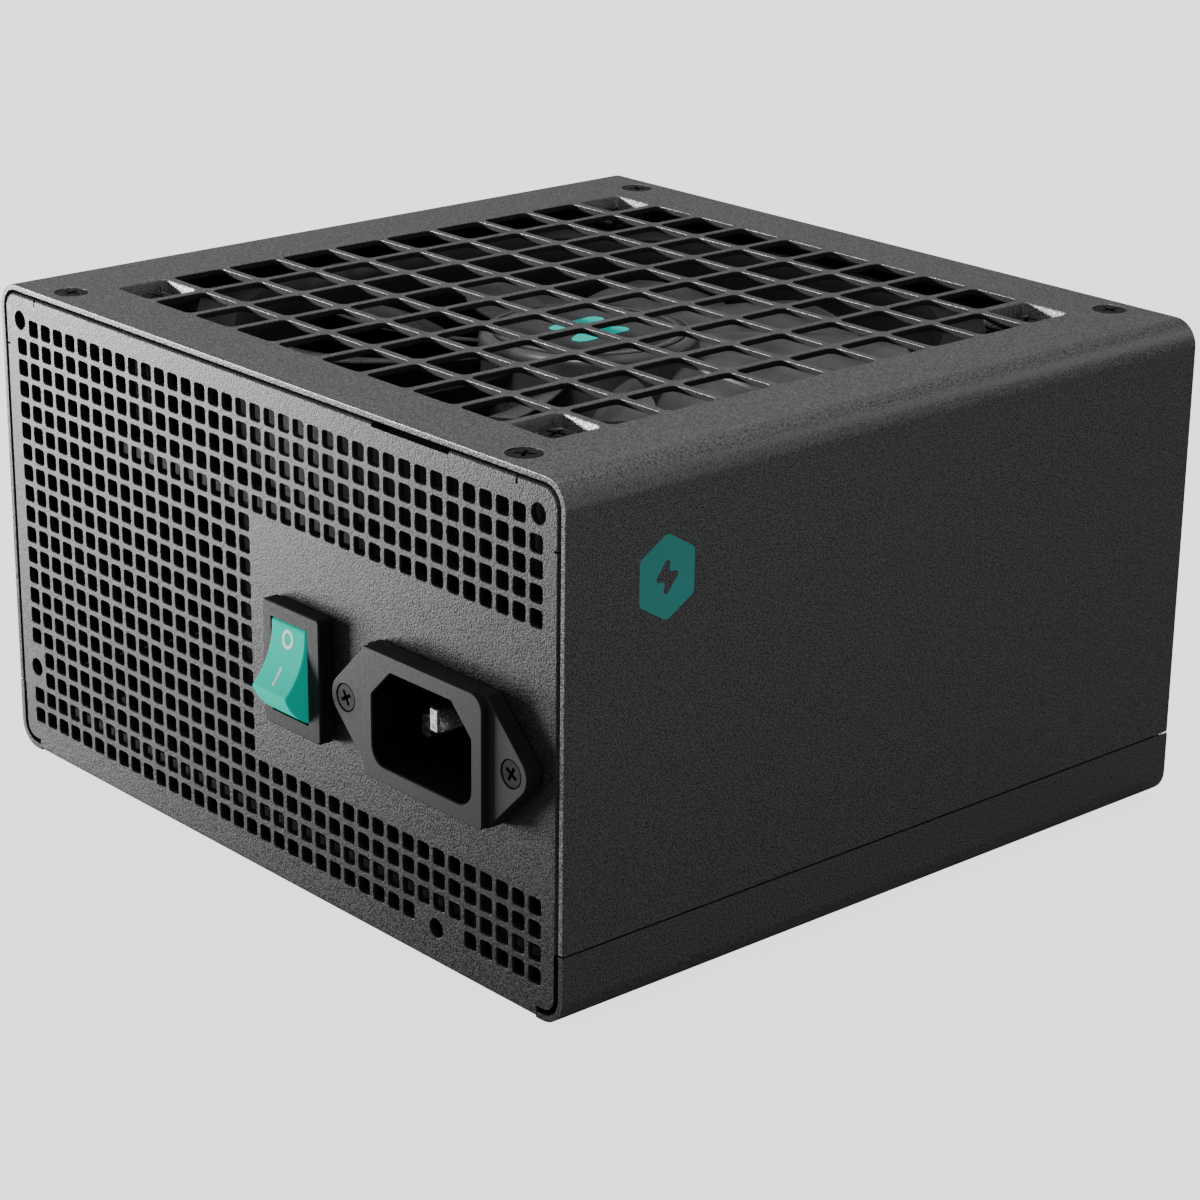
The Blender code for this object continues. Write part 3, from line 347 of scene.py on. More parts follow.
def rounded(corners, steps=4):
    """The outline through corners (x, y, radius), with an arc in each that has a radius."""
    outline = []
    for number, (x, y, radius) in enumerate(corners):
        corner = Vector((x, y))
        if radius == 0:
            outline.append(corner)
            continue
        before = (Vector(corners[number - 1][:2]) - corner).normalized()
        after = (Vector(corners[(number + 1) % len(corners)][:2]) - corner).normalized()
        half_angle = before.angle(after) / 2
        reach = radius / math.tan(half_angle)
        centre = corner + (before + after).normalized() * radius / math.sin(half_angle)
        first = corner + before * reach - centre
        last = corner + after * reach - centre
        start = math.atan2(first.y, first.x)
        turn = (math.atan2(last.y, last.x) - start + math.pi) % math.tau - math.pi
        for step in range(steps + 1):
            angle = start + turn * step / steps
            outline.append(centre + radius * Vector((math.cos(angle), math.sin(angle))))
    return outline


def rectangle(width, height, radius=0.0, centre=(0, 0), steps=4):
    x, y = centre
    corners = [(x + a * width / 2, y + b * height / 2, radius)
               for a, b in ((-1, -1), (1, -1), (1, 1), (-1, 1))]
    return rounded(corners, steps)


def circle(radius, centre=(0, 0), sides=32):
    angles = [math.tau * side / sides for side in range(sides)]
    return [Vector((centre[0] + radius * math.cos(a), centre[1] + radius * math.sin(a)))
            for a in angles]


def channel(half_width, foot, crown, radius):
    """A U of sheet: its feet at one height and its crown at another, bent at radius."""
    up = math.copysign(SHEET, crown - foot)
    inner = half_width - SHEET
    return rounded([
        (-half_width, foot, 0), (-half_width, crown, radius),
        (half_width, crown, radius), (half_width, foot, 0),
        (inner, foot, 0), (inner, crown - up, radius - SHEET),
        (-inner, crown - up, radius - SHEET), (-inner, foot, 0)], 10)


# ---------------------------------------------------------------- meshes

AXIS_TURNS = {
    "X": Matrix(((0, 0, 1), (1, 0, 0), (0, 1, 0))).to_4x4(),
    "Y": Matrix(((1, 0, 0), (0, 0, 1), (0, 1, 0))).to_4x4(),
    "Z": Matrix.Identity(4),
}


def mesh_of(bm):
    bmesh.ops.recalc_face_normals(bm, faces=bm.faces)
    mesh = bpy.data.meshes.new("shape")
    bm.to_mesh(mesh)
    bm.free()
    return mesh


def hold(mesh):
    holder = bpy.data.objects.new("holder", mesh)
    bpy.context.scene.collection.objects.link(holder)
    return holder


def evaluated(holder):
    """The mesh that an object's curve or modifiers make; the object is removed."""
    bpy.context.view_layer.update()
    depsgraph = bpy.context.evaluated_depsgraph_get()
    mesh = bpy.data.meshes.new_from_object(holder.evaluated_get(depsgraph))
    bpy.data.objects.remove(holder, do_unlink=True)
    return mesh


def bridge(bm, loops):
    """A closed skin through loops of as many points each, with a face at either end."""
    for first, second in zip(loops, loops[1:]):
        for a, b, c, d in zip(first, first[1:] + first[:1], second[1:] + second[:1], second):
            bm.faces.new((a, b, c, d))
    bm.faces.new(loops[0])
    bm.faces.new(loops[-1])
    return mesh_of(bm)


def skin(bm, inner, outer):
    """Faces from one closed loop of points to the next."""
    for a, b, c, d in zip(inner, outer, outer[1:] + outer[:1], inner[1:] + inner[:1]):
        bm.faces.new((a, b, c, d))


def box(low, high):
    bm = bmesh.new()
    bmesh.ops.create_cube(bm, size=1)
    low, high = Vector(low), Vector(high)
    bmesh.ops.scale(bm, vec=high - low, verts=bm.verts)
    bmesh.ops.translate(bm, vec=(low + high) / 2, verts=bm.verts)
    return mesh_of(bm)


def loft(levels, axis="Z"):
    """A closed solid through outlines of as many points each: levels (outline, height)."""
    bm = bmesh.new()
    turn = AXIS_TURNS[axis]
    return bridge(bm, [[bm.verts.new(turn @ Vector((x, y, height))) for x, y in outline]
                       for outline, height in levels])


def bar(at, levels, axis="Y", steps=4):
    """A rectangular bar along an axis: levels (width, height, corner radius, where it is)."""
    return loft([(rectangle(width, height, radius, at, steps), place)
                 for width, height, radius, place in levels], axis)


def square_bar(at, levels):
    """An upright bar of square section: levels (size, corner radius, height)."""
    return bar(at, [(size, size, radius, height) for size, radius, height in levels], "Z")


def extruded(outlines, low, high, axis="Z"):
    """Outlines drawn out along an axis; an outline inside another is a hole.
    Their points are (y, z), (x, z) or (x, y) for the axes X, Y and Z."""
    if len(outlines) == 1:
        return loft([(outlines[0], low), (outlines[0], high)], axis)
    curve = bpy.data.curves.new("outline", "CURVE")
    curve.dimensions = "2D"
    curve.fill_mode = "BOTH"
    curve.extrude = (high - low) / 2
    for outline in outlines:
        spline = curve.splines.new("POLY")
        spline.points.add(len(outline) - 1)
        spline.use_cyclic_u = True
        for point, (x, y) in zip(spline.points, outline):
            point.co = (x, y, 0, 1)
    bm = bmesh.new()
    bm.from_mesh(evaluated(hold(curve)))
    bmesh.ops.remove_doubles(bm, verts=bm.verts, dist=0.0001)
    bmesh.ops.dissolve_limit(bm, angle_limit=0.01, verts=bm.verts, edges=bm.edges)
    bmesh.ops.translate(bm, vec=(0, 0, (low + high) / 2), verts=bm.verts)
    bmesh.ops.transform(bm, matrix=AXIS_TURNS[axis], verts=bm.verts)
    return mesh_of(bm)


def turned(profile, sides=48):
    """A profile (radius, z) that starts and ends on the axis, turned round Z."""
    bm = bmesh.new()
    rings = []
    for radius, z in profile:
        if radius == 0:
            rings.append([bm.verts.new((0, 0, z))] * sides)
            continue
        angles = [math.tau * side / sides for side in range(sides)]
        rings.append([bm.verts.new((radius * math.cos(a), radius * math.sin(a), z))
                      for a in angles])
    for above, below in zip(rings, rings[1:]):
        for side in range(sides):
            corners = (above[side], above[(side + 1) % sides],
                       below[(side + 1) % sides], below[side])
            bm.faces.new(list(dict.fromkeys(corners)))
    return mesh_of(bm)


def cylinder(radius, low, high, centre=(0, 0), sides=32, axis="Z"):
    return extruded([circle(radius, centre, sides)], low, high, axis)


def moved(mesh, offset=(0, 0, 0), angle=0.0, axis="Z"):
    turn = Matrix.Rotation(math.radians(angle), 4, axis)
    mesh.transform(Matrix.Translation(Vector(offset)) @ turn)
    return mesh


def merged(meshes):
    """Several closed shapes that don't touch, in one mesh."""
    bm = bmesh.new()
    for mesh in meshes:
        bm.from_mesh(mesh)
    mesh = bpy.data.meshes.new("shapes")
    bm.to_mesh(mesh)
    bm.free()
    return mesh


def shape(mesh, cuts=(), adds=()):
    """A mesh with others joined to it and then cut from it."""
    holder = hold(mesh)
    tools = []
    for others, operation in ((adds, "UNION"), (cuts, "DIFFERENCE")):
        for other in others:
            tool = hold(other)
            tools.append(tool)
            boolean = holder.modifiers.new(operation, "BOOLEAN")
            boolean.operation = operation
            boolean.solver = "EXACT"
            boolean.object = tool
    made = evaluated(holder)
    for tool in tools:
        bpy.data.objects.remove(tool, do_unlink=True)
    return made


def flattened(mesh):
    """The mesh with its coplanar faces joined, so that its edges can be bevelled."""
    bm = bmesh.new()
    bm.from_mesh(mesh)
    bmesh.ops.remove_doubles(bm, verts=bm.verts, dist=0.0005)
    bmesh.ops.dissolve_limit(bm, angle_limit=0.005, verts=bm.verts, edges=bm.edges)
    return mesh_of(bm)


def soften(mesh, width, keep, segments=2):
    """Rounds the edges for which keep(first end, second end) is true."""
    bm = bmesh.new()
    bm.from_mesh(mesh)
    edges = [edge for edge in bm.edges
             if edge.calc_face_angle(0) > 0.5 and keep(*(v.co for v in edge.verts))]
    bmesh.ops.bevel(bm, geom=edges, offset=width, segments=segments,
                    profile=0.5, affect="EDGES", clamp_overlap=True)
    return mesh_of(bm)


def tube(points, radius, sides=12, steps=6):
    """A wire of a round section along a smooth line through the points."""
    padded = [Vector(p) for p in (points[0], *points, points[-1])]
    route = []
    for a, b, c, d in zip(padded, padded[1:], padded[2:], padded[3:]):
        for step in range(steps):
            t = step / steps
            route.append(0.5 * (2 * b + (c - a) * t + (2 * a - 5 * b + 4 * c - d) * t ** 2
                                + (3 * b - a - 3 * c + d) * t ** 3))
    route.append(padded[-1])
    bm = bmesh.new()
    loops = []
    side = None
    for number, place in enumerate(route):
        ahead = route[min(number + 1, len(route) - 1)] - route[max(number - 1, 0)]
        ahead.normalize()
        side = side - ahead * side.dot(ahead) if side else ahead.orthogonal()
        side.normalize()
        other = ahead.cross(side)
        loops.append([bm.verts.new(place + radius * (math.cos(a) * side + math.sin(a) * other))
                      for a in (math.tau * k / sides for k in range(sides))])
    return bridge(bm, loops)


# ---------------------------------------------------------------- pieces

def piece(name, mesh, finish, body="case", bevel=0.0, segments=2, sharp=35, stands_for=(),
          second=None):
    """A piece in its place. Its mesh, in millimetres, becomes metres in the row frame.

    second: another finish, and a test of a face's place that says which faces have it.
    """
    mesh = flattened(mesh) if bevel else mesh
    mesh.materials.clear()
    mesh.materials.append(MATERIALS[finish])
    if second:
        mesh.materials.append(MATERIALS[second[0]])
    for polygon in mesh.polygons:
        polygon.material_index = int(second[1](polygon.center)) if second else 0
    mesh.transform(TO_ROW)
    mesh.shade_smooth()
    mesh.set_sharp_from_angle(angle=math.radians(sharp))
    made = bpy.data.objects.new(name, mesh)
    bpy.context.scene.collection.objects.link(made)
    if bevel:
        edge = made.modifiers.new("edges", "BEVEL")
        edge.width = bevel * MM
        edge.segments = segments
        edge.limit_method = "ANGLE"
        edge.angle_limit = math.radians(sharp)
        edge.miter_outer = "MITER_ARC"
    even = made.modifiers.new("even_faces", "WEIGHTED_NORMAL")
    even.mode = "FACE_AREA"
    even.weight = 100
    even.keep_sharp = True
    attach(made, body)
    if stands_for:
        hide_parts(*stands_for)
    return made


# ---------------------------------------------------------------- screws

def cross_recess(size, depth):
    """A cross-shaped sinking that narrows downwards, with its mouth at z = 0."""
    def outline(reach, width):
        arm, narrow = reach / 2, width / 2
        points = []
        for quarter in range(4):
            turn = Matrix.Rotation(quarter * math.pi / 2, 2)
            points += [turn @ Vector(p) for p in ((arm, narrow), (narrow, narrow), (narrow, arm))]
        return points

    wide = size / 4.6
    mouth = outline(size * 1.05, wide * 1.15)
    return loft([(outline(size * 0.55, wide * 0.6), -depth), (outline(size, wide), -0.05),
                 (mouth, 0.06), (mouth, 1.0)])


def flat_screw(head_r, shank_r, length):
    """A countersunk screw pointing down, with the top of its head at z = 0."""
    slope = head_r - shank_r
    body = turned([(0, 0), (head_r - 0.15, 0), (head_r, -0.12), (head_r, -0.25),
                   (shank_r, -0.25 - slope), (shank_r, -length), (0, -length)], 40)
    return shape(body, cuts=[cross_recess(head_r * 1.15, 0.9)])


def pan_screw(head_r, head_height, shank_r, length):
    """A round-headed screw pointing down, with the underside of its head at z = 0."""
    dome = [(0, head_height)]
    for step in range(1, 7):
        angle = math.radians(15 * step)
        rise = 0.25 + 0.75 * math.cos(angle)
        dome.append((head_r * math.sin(angle) ** 0.7, head_height * rise))
    body = turned([*dome, (head_r, 0), (shank_r, 0), (shank_r, -length), (0, -length)], 40)
    recess = moved(cross_recess(head_r * 1.1, head_height * 0.75), (0, 0, head_height))
    return shape(body, cuts=[recess])


def sink(head_r, depth=3.0, lip=0.25):
    """What is cut out for a flat screw, with its mouth at z = 0 and a pressed lip."""
    ring = head_r + lip
    shank = SHANK_R + GAP
    return turned([(0, 1), (ring + 0.1, 1), (ring + 0.1, 0.05), (ring, -0.05), (ring, -0.3),
                   (shank, -0.3 - ring + shank), (shank, -depth), (0, -depth)], 40)


# ---------------------------------------------------------------- the case

def cover():
    """The outer U of sheet: cells, pressed pockets and countersinks in its top."""
    outline = channel(HALF - SIDE_SHY, SEAM + GAP / 2, HEIGHT, BEND)
    body = soften(extruded([outline], 0, DEPTH, "Y"), 0.18,
                  lambda a, b: abs(a.y - b.y) < 0.01, 2)
    last = GRILLE_CELLS - 1
    floor = HEIGHT - POCKET_DEPTH
    pocket_floor = POCKET_CELL - 0.9
    lip = 0.12
    shell_levels = ((pocket_floor + 1.6, 1.4, floor - SHEET), (POCKET_CELL + 1.7, 1.7, HEIGHT - 1.2),
                    (POCKET_CELL + 1.7, 1.7, HEIGHT - 0.4))
    pocket_levels = ((pocket_floor - 0.5, 0.6, floor), (pocket_floor - 0.12, 0.8, floor + 0.08),
                     (pocket_floor, 0.9, floor + 0.3), (POCKET_CELL, 1.1, HEIGHT - 0.3),
                     (POCKET_CELL + 0.12, 1.15, HEIGHT - 0.1),
                     (POCKET_CELL + 0.36, 1.25, HEIGHT + 0.02), (POCKET_CELL + 0.36, 1.25, HEIGHT + 1))
    cell_levels = ((GRILLE_CELL, 1.2, HEIGHT - 2), (GRILLE_CELL, 1.2, HEIGHT - lip),
                   (GRILLE_CELL + 0.5 * lip, 1.24, HEIGHT - lip * 0.3),
                   (GRILLE_CELL + 2 * lip, 1.3, HEIGHT + 0.02), (GRILLE_CELL + 2 * lip, 1.3, HEIGHT + 1))
    shells, pockets, cells = [], [], []
    for row in range(GRILLE_CELLS):
        for column in range(GRILLE_CELLS):
            at = ((column - last / 2) * GRILLE_PITCH, FAN_CENTRE.y + (row - last / 2) * GRILLE_PITCH)
            if row in (0, last) and column in (0, last):
                shells.append(square_bar(at, shell_levels))
                pockets.append(square_bar(at, pocket_levels))
            else:
                cells.append(square_bar(at, cell_levels))
    holes = [cylinder(FAN_HOLE_R, floor - 2, floor + 0.3, place, 24) for place in FAN_HOLES]
    sinks = [moved(sink(COVER_SCREW_R), (x, y, HEIGHT)) for x, y in COVER_SCREWS]
    made = shape(body, adds=[merged(shells)], cuts=[merged(cells + pockets + sinks), merged(holes)])

    # The cells' upright walls are painted near-black. This is painted shade, so that only the lit lip
    # shows as a thin bright line.
    def on_cell_wall(place):
        aside = abs(place.x)
        along = abs(place.y - FAN_CENTRE.y)
        in_grille = max(aside, along) < GRILLE_HALF + GRILLE_CELL / 2 + 0.1
        in_pocket = min(aside, along) > GRILLE_HALF - GRILLE_PITCH / 2
        return in_grille and not in_pocket and HEIGHT - 0.98 < place.z < HEIGHT - lip - 0.005

    piece("cover", made, "powder_coat", stands_for=["upper_cover"],
          second=("painted_shade_black", on_cell_wall))


def corner_relief(side):
    """What is cut off an end panel to part it from the tray's bend at a bottom corner."""
    wide = HALF - SHEET - SLOT
    low = SHEET + SLOT
    beyond = HALF + 1
    outline = rounded([(FOLD_END, -1, 0), (FOLD_END, low, 0), (wide, low, BEND - low),
                       (wide, SEAM, 0), (beyond, SEAM, 0), (beyond, -1, 0)], 8)
    return extruded([[Vector((side * x, z)) for x, z in outline]], -1, SHEET + 1, "Y")


def side_box(side, across, along, up):
    """A box between two places on each axis, where those across are on one side (-1 or 1)."""
    low, high = sorted(side * place for place in across)
    return box((low, along[0], up[0]), (high, along[1], up[1]))


def end_panel():
    """A pressed panel at y = 0 with its edges folded back, before any hole."""
    half = HALF - PANEL_INSET
    corner = BEND - PANEL_INSET

    def outline(inset):
        return rectangle(2 * (half - inset), PANEL_TOP - SHY - 2 * inset, corner - inset,
                         (0, (PANEL_TOP + SHY) / 2), 8)

    outer = extruded([outline(0)], 0, PANEL_FLANGE, "Y")
    outer = soften(outer, PANEL_EDGE, lambda a, b: abs(a.y) < 0.01 and abs(b.y) < 0.01, 4)
    hollow = extruded([outline(SHEET)], SHEET, PANEL_FLANGE + 1, "Y")
    behind = (SHEET - SHY, PANEL_FLANGE + 2)
    through = (-1, SHEET + 1)
    trims = []
    for side in (-1, 1):
        trims += [
            side_box(side, (FOLD_X, half + 1), behind, (FOLD_Z[1], PANEL_TOP + 1)),
            side_box(side, (FOLD_END - 2, half + 1), behind, (-1, FOLD_Z[0])),
            side_box(side, (FOLD_X, FOLD_X + RELIEF), through, (PANEL_TOP - 1.4, PANEL_TOP + 1)),
            side_box(side, (half - 1.2, half + 1), through, (FOLD_Z[1], FOLD_Z[1] + RELIEF)),
            corner_relief(side),
        ]
    return shape(outer, cuts=[hollow, *trims])


def at_front(mesh):
    """The mirror image of a shape of the rear panel, on the front panel."""
    copy = mesh.copy()
    copy.transform(Matrix.Translation((0, DEPTH, 0)) @ Matrix.Scale(-1, 4, (0, 1, 0)))
    copy.flip_normals()
    return copy


def bottom_fold():
    """What is cut away to round the fold between an end panel and the bottom."""
    arc = [Vector((PANEL_EDGE * (1 - math.sin(a)), PANEL_EDGE * (1 - math.cos(a))))
           for a in (math.pi / 12 * step for step in range(7))]
    outline = [Vector((PANEL_EDGE, -1)), *arc, Vector((-1, PANEL_EDGE)), Vector((-1, -1))]
    reach = FOLD_END - 0.1
    return extruded([outline], -reach, reach, "X")


def has_hole(row, column):
    """Whether the rear grid has a hole here: not round the inlet, switch and fixings."""
    last = HOLE_COLUMNS - 1
    beside_inlet = column >= last // 2 and 5 <= row <= 15
    top_corner = row == 0 and column in (0, last)
    left_fixing = column == 0 and row in (16, 17)
    bottom_fixing = row == HOLE_ROWS - 1 and 29 <= column <= 31
    return not (beside_inlet or top_corner or left_fixing or bottom_fixing)


def punched(outline_of, lip=0.12):
    """A cutter for a hole punched in the rear panel: outline_of(growth), drawn in at its mouth."""
    return loft([(outline_of(lip), -0.5), (outline_of(lip), 0), (outline_of(0), lip),
                 (outline_of(0), SHEET + 0.5)], "Y")


def rear_holes():
    holes = []
    for row in range(HOLE_ROWS):
        for column in range(HOLE_COLUMNS):
            if has_hole(row, column):
                x = (column - (HOLE_COLUMNS - 1) / 2) * HOLE_PITCH
                z = HOLE_TOP - row * HOLE_PITCH
                holes.append(punched(lambda grow: rectangle(
                    HOLE_SIZE + 2 * grow, HOLE_SIZE + 2 * grow, HOLE_CORNER_R + grow, (x, z), 3)))
    return merged(holes)


def tray():
    """Bottom, side flanges and both end panels, bent from one sheet."""
    outline = channel(HALF, SEAM - GAP / 2, 0, BEND)
    body = extruded([outline], SHY, DEPTH - SHY, "Y")
    rear = end_panel()
    fold = bottom_fold()
    body = shape(body, adds=[rear, at_front(rear)], cuts=[fold, at_front(fold)])
    bosses = merged([cylinder(3.4, SHEET / 2, BOSS_TOP, place, 24) for place in BOARD_SCREWS])
    through = (-0.5, SHEET + 0.5)
    x, z = INLET.x, INLET.z
    openings = [punched(lambda grow, at=place: circle(MOUNT_HOLE_R + grow, at, 28))
                for place in MOUNT_HOLES]
    openings += [cylinder(2.3, *through, (screw_x, z), 12, "Y") for screw_x in INLET_SCREWS]
    openings.append(extruded([rectangle(28.0, 20.4, 0.0, (x, z))], *through, "Y"))
    openings.append(extruded([rectangle(12.2, 19.6, 0.0, (SWITCH.x, SWITCH.z))], *through, "Y"))
    openings.append(box((30, -1, PANEL_TOP - 0.8), (48.6, SHEET + 1.2, PANEL_TOP + 1)))
    openings += [cylinder(2.3, PANEL_TOP - 3, PANEL_TOP + 1, place, 16) for place in COVER_SCREWS]
    openings += [cylinder(1.9, 2.0, ON_BOARD, place, 16) for place in BOARD_SCREWS]
    openings += [turned_dimple(place) for place in BOARD_SCREWS]
    for _, columns, socket_x, socket_z in SOCKETS:
        width, height = socket_size(columns)
        opening = rectangle(width + 2 * GAP, height + 2 * GAP, 0, (socket_x, socket_z))
        openings.append(extruded([opening], DEPTH - SHEET - 0.5, DEPTH + 0.5, "Y"))
    made = shape(shape(body, adds=[bosses]), cuts=[merged(openings), rear_holes()])
    piece("tray", made, "powder_coat", stands_for=["lower_tray"])


def turned_dimple(place):
    """The sinking that pressing a boss leaves on the underside."""
    return moved(turned([(0, 0.62), (1.6, 0.6), (2.2, 0.45), (2.7, 0.0), (2.7, -1), (0, -1)], 32),
                 (*place, 0))


def case_screws():
    flat = flat_screw(COVER_SCREW_R, SHANK_R, 6.0)
    for number, (x, y) in enumerate(COVER_SCREWS, 1):
        piece(f"cover_screw_{number}_look", moved(flat.copy(), (x, y, HEIGHT - 0.08), 20 * number),
              "black_screw", stands_for=[f"cover_screw_{number}"])
    pan = pan_screw(FAN_SCREW_R, 0.95, 1.7, 11.0)
    for number, (x, y) in enumerate(FAN_HOLES, 1):
        piece(f"fan_screw_{number}_look",
              moved(pan.copy(), (x, y, HEIGHT - POCKET_DEPTH + 0.12), 3 + 7 * number),
              "black_screw", stands_for=[f"fan_screw_{number}"])


def bolt(scale, centre=(0, 0), turn=0.0):
    """A plain lightning bolt's outline, about two units tall."""
    points = ((0.28, 1.0), (-0.62, -0.14), (-0.08, -0.14),
              (-0.28, -1.0), (0.62, 0.16), (0.06, 0.16))
    matrix = Matrix.Rotation(math.radians(turn), 2)
    made = []
    for point in points:
        x, y = matrix @ Vector(point)
        made.append((centre[0] + scale * x, centre[1] + scale * y, 0.12 * scale))
    return rounded(made, 3)


def side_mark():
    """A generic mark printed on the right side: a bolt left open in a tall hexagon."""
    y, z = 19.75, 67.65
    hexagon = [(0, 1.0), (-0.80, 0.52), (-0.80, -0.52), (0, -1.0), (0.80, -0.52), (0.80, 0.52)]
    edge = rounded([(y + 6.85 * a, z + 6.85 * b, 1.2) for a, b in hexagon], 6)
    made = extruded([edge, bolt(4.4, (y, z))], HALF - SIDE_SHY - 0.02, HALF - 0.005, "X")
    piece("side_mark", made, "mark_paint")


# ---------------------------------------------------------------- the fan

def fan_frame():
    """Two square flanges joined by the duct, with a motor mount on four struts."""
    def square(low, high, inset=0.5):
        def level(grow, z):
            return rectangle(120.0 + 2 * grow, 120.0 + 2 * grow, 5.0, (0, FAN_CENTRE.y), 6), z
        return loft([level(-inset, low), level(0, low + inset), level(0, high - inset),
                     level(-inset, high)])

    centre = tuple(FAN_CENTRE.xy)
    flange = square(FAN_TOP - 4, FAN_TOP)
    duct = turned([(0, FAN_TOP - 0.5), (59.7, FAN_TOP - 0.5), (59.7, FAN_BOTTOM + 0.5),
                   (0, FAN_BOTTOM + 0.5)], 96)
    pillars = [cylinder(4.4, FAN_BOTTOM + 1, FAN_TOP - 1, place, 24) for place in FAN_HOLES]
    solid = shape(flange, adds=[square(FAN_BOTTOM, FAN_BOTTOM + 4), moved(duct, FAN_CENTRE),
                                merged(pillars)])
    bore = turned([(0, FAN_TOP + 1), (DUCT_R + 2.6, FAN_TOP + 1), (DUCT_R + 2.0, FAN_TOP - 0.3),
                   (DUCT_R + 0.9, FAN_TOP - 1.8), (DUCT_R, FAN_TOP - 4.5), (DUCT_R, FAN_BOTTOM + 4),
                   (DUCT_R + 0.8, FAN_BOTTOM - 1), (0, FAN_BOTTOM - 1)], 96)
    holes = [cylinder(FAN_HOLE_R, FAN_BOTTOM - 1, FAN_TOP + 1, place, 24) for place in FAN_HOLES]
    solid = shape(solid, cuts=[moved(bore, FAN_CENTRE), merged(holes)])
    struts = []
    for number in range(4):
        def section(x, wide, low, high):
            return [Vector((-wide, low)), Vector((wide, low)), Vector((wide * 0.7, high)),
                    Vector((-wide * 0.7, high))], x
        strut = loft([section(15, 2.6, FAN_BOTTOM + 0.1, FAN_BOTTOM + 3),
                      section(30, 1.9, FAN_BOTTOM + 0.1, FAN_BOTTOM + 3),
                      section(DUCT_R + 1.2, 2.2, FAN_BOTTOM + 0.2, FAN_BOTTOM + 3.2)], "X")
        struts.append(moved(strut, FAN_CENTRE, 90 * number + 25))
    plate = moved(turned([(0, FAN_BOTTOM + 2.5), (HUB_R - 0.6, FAN_BOTTOM + 2.5),
                          (HUB_R, FAN_BOTTOM + 1.9), (HUB_R, FAN_BOTTOM + SHY),
                          (0, FAN_BOTTOM + SHY)], 48), FAN_CENTRE)
    sleeve = cylinder(4.6, FAN_BOTTOM + 1, FAN_BOTTOM + 18, centre, 32)
    hollow = cylinder(4.1, FAN_BOTTOM + 1.2, FAN_BOTTOM + 19, centre, 32)
    made = shape(shape(solid, adds=[*struts, plate, sleeve]), cuts=[hollow])
    piece("fan_frame_look", made, "fan_plastic", stands_for=["fan_frame"])


def blade():
    """One blade: a swept, twisted sheet that thins towards its tip and its edges."""
    bm = bmesh.new()
    spans, chords = 14, 12
    root_r = HUB_R - 1.2
    loops = []
    for i in range(spans + 1):
        out = i / spans
        radius = root_r + (BLADE_TIP_R - root_r) * out
        width = math.radians(31.0 - 2.0 * out)
        sweep = -math.radians(16.0) * out ** 1.4
        rise = 12.5 - 3.5 * out
        thick = 0.85 - 0.3 * out
        upper, lower = [], []
        for j in range(chords + 1):
            along = j / chords
            angle = sweep + (along - 0.5) * width
            height = 71.0 + (along - 0.5) * rise + 2.2 * math.sin(math.pi * along)
            half = thick * math.sqrt(max(0.06, 1 - (2 * along - 1) ** 4)) * 0.9
            place = Vector((radius * math.cos(angle), radius * math.sin(angle), height))
            lean = Vector((0, 0, half))
            upper.append(bm.verts.new(place + lean))
            lower.append(bm.verts.new(place - lean))
        loops.append(upper + lower[::-1])
    for inner, outer in zip(loops, loops[1:]):
        skin(bm, inner, outer)
    bm.faces.new(loops[0])
    bm.faces.new(loops[-1])
    return mesh_of(bm)


def fan_wheel():
    cup = turned([(0, HUB_TOP - 0.5), (16.9, HUB_TOP - 0.5), (17.0, HUB_TOP - 0.35),
                  (17.1, HUB_TOP), (HUB_R - 1.4, HUB_TOP), (HUB_R - 0.7, HUB_TOP - 0.2),
                  (HUB_R - 0.2, HUB_TOP - 0.7), (HUB_R, HUB_TOP - 1.4), (HUB_R, HUB_BOTTOM + 0.3),
                  (HUB_R - 0.3, HUB_BOTTOM), (HUB_R - 1.8, HUB_BOTTOM),
                  (HUB_R - 1.8, HUB_TOP - 2.3), (0, HUB_TOP - 2.3)], 96)
    one = blade()
    blades = [moved(one.copy(), angle=360 * number / BLADES) for number in range(BLADES)]
    made = moved(shape(cup, adds=[merged(blades)]), FAN_CENTRE)
    piece("fan_wheel_look", made, "blade_plastic", "fan_wheel", stands_for=["fan_rotor"], sharp=45)
    disc = turned([(0, HUB_TOP + 0.02), (16.3, HUB_TOP + 0.02), (16.5, HUB_TOP - 0.05),
                   (16.5, HUB_TOP - 0.3), (0, HUB_TOP - 0.3)], 96)
    piece("fan_badge", moved(disc, FAN_CENTRE), "badge_foil", "fan_wheel", stands_for=["hub_badge"])
    centre = tuple(FAN_CENTRE.xy)
    mark = extruded([bolt(14.0, centre, 42)], HUB_TOP, HUB_TOP + 0.07)
    piece("badge_mark", mark, "bright_paint", "fan_wheel")
    ring = extruded([circle(15.9, centre, 96), circle(15.1, centre, 96)], HUB_TOP, HUB_TOP + 0.05)
    piece("badge_ring", ring, "ground_steel", "fan_wheel")


# ---------------------------------------------------------------- the switch

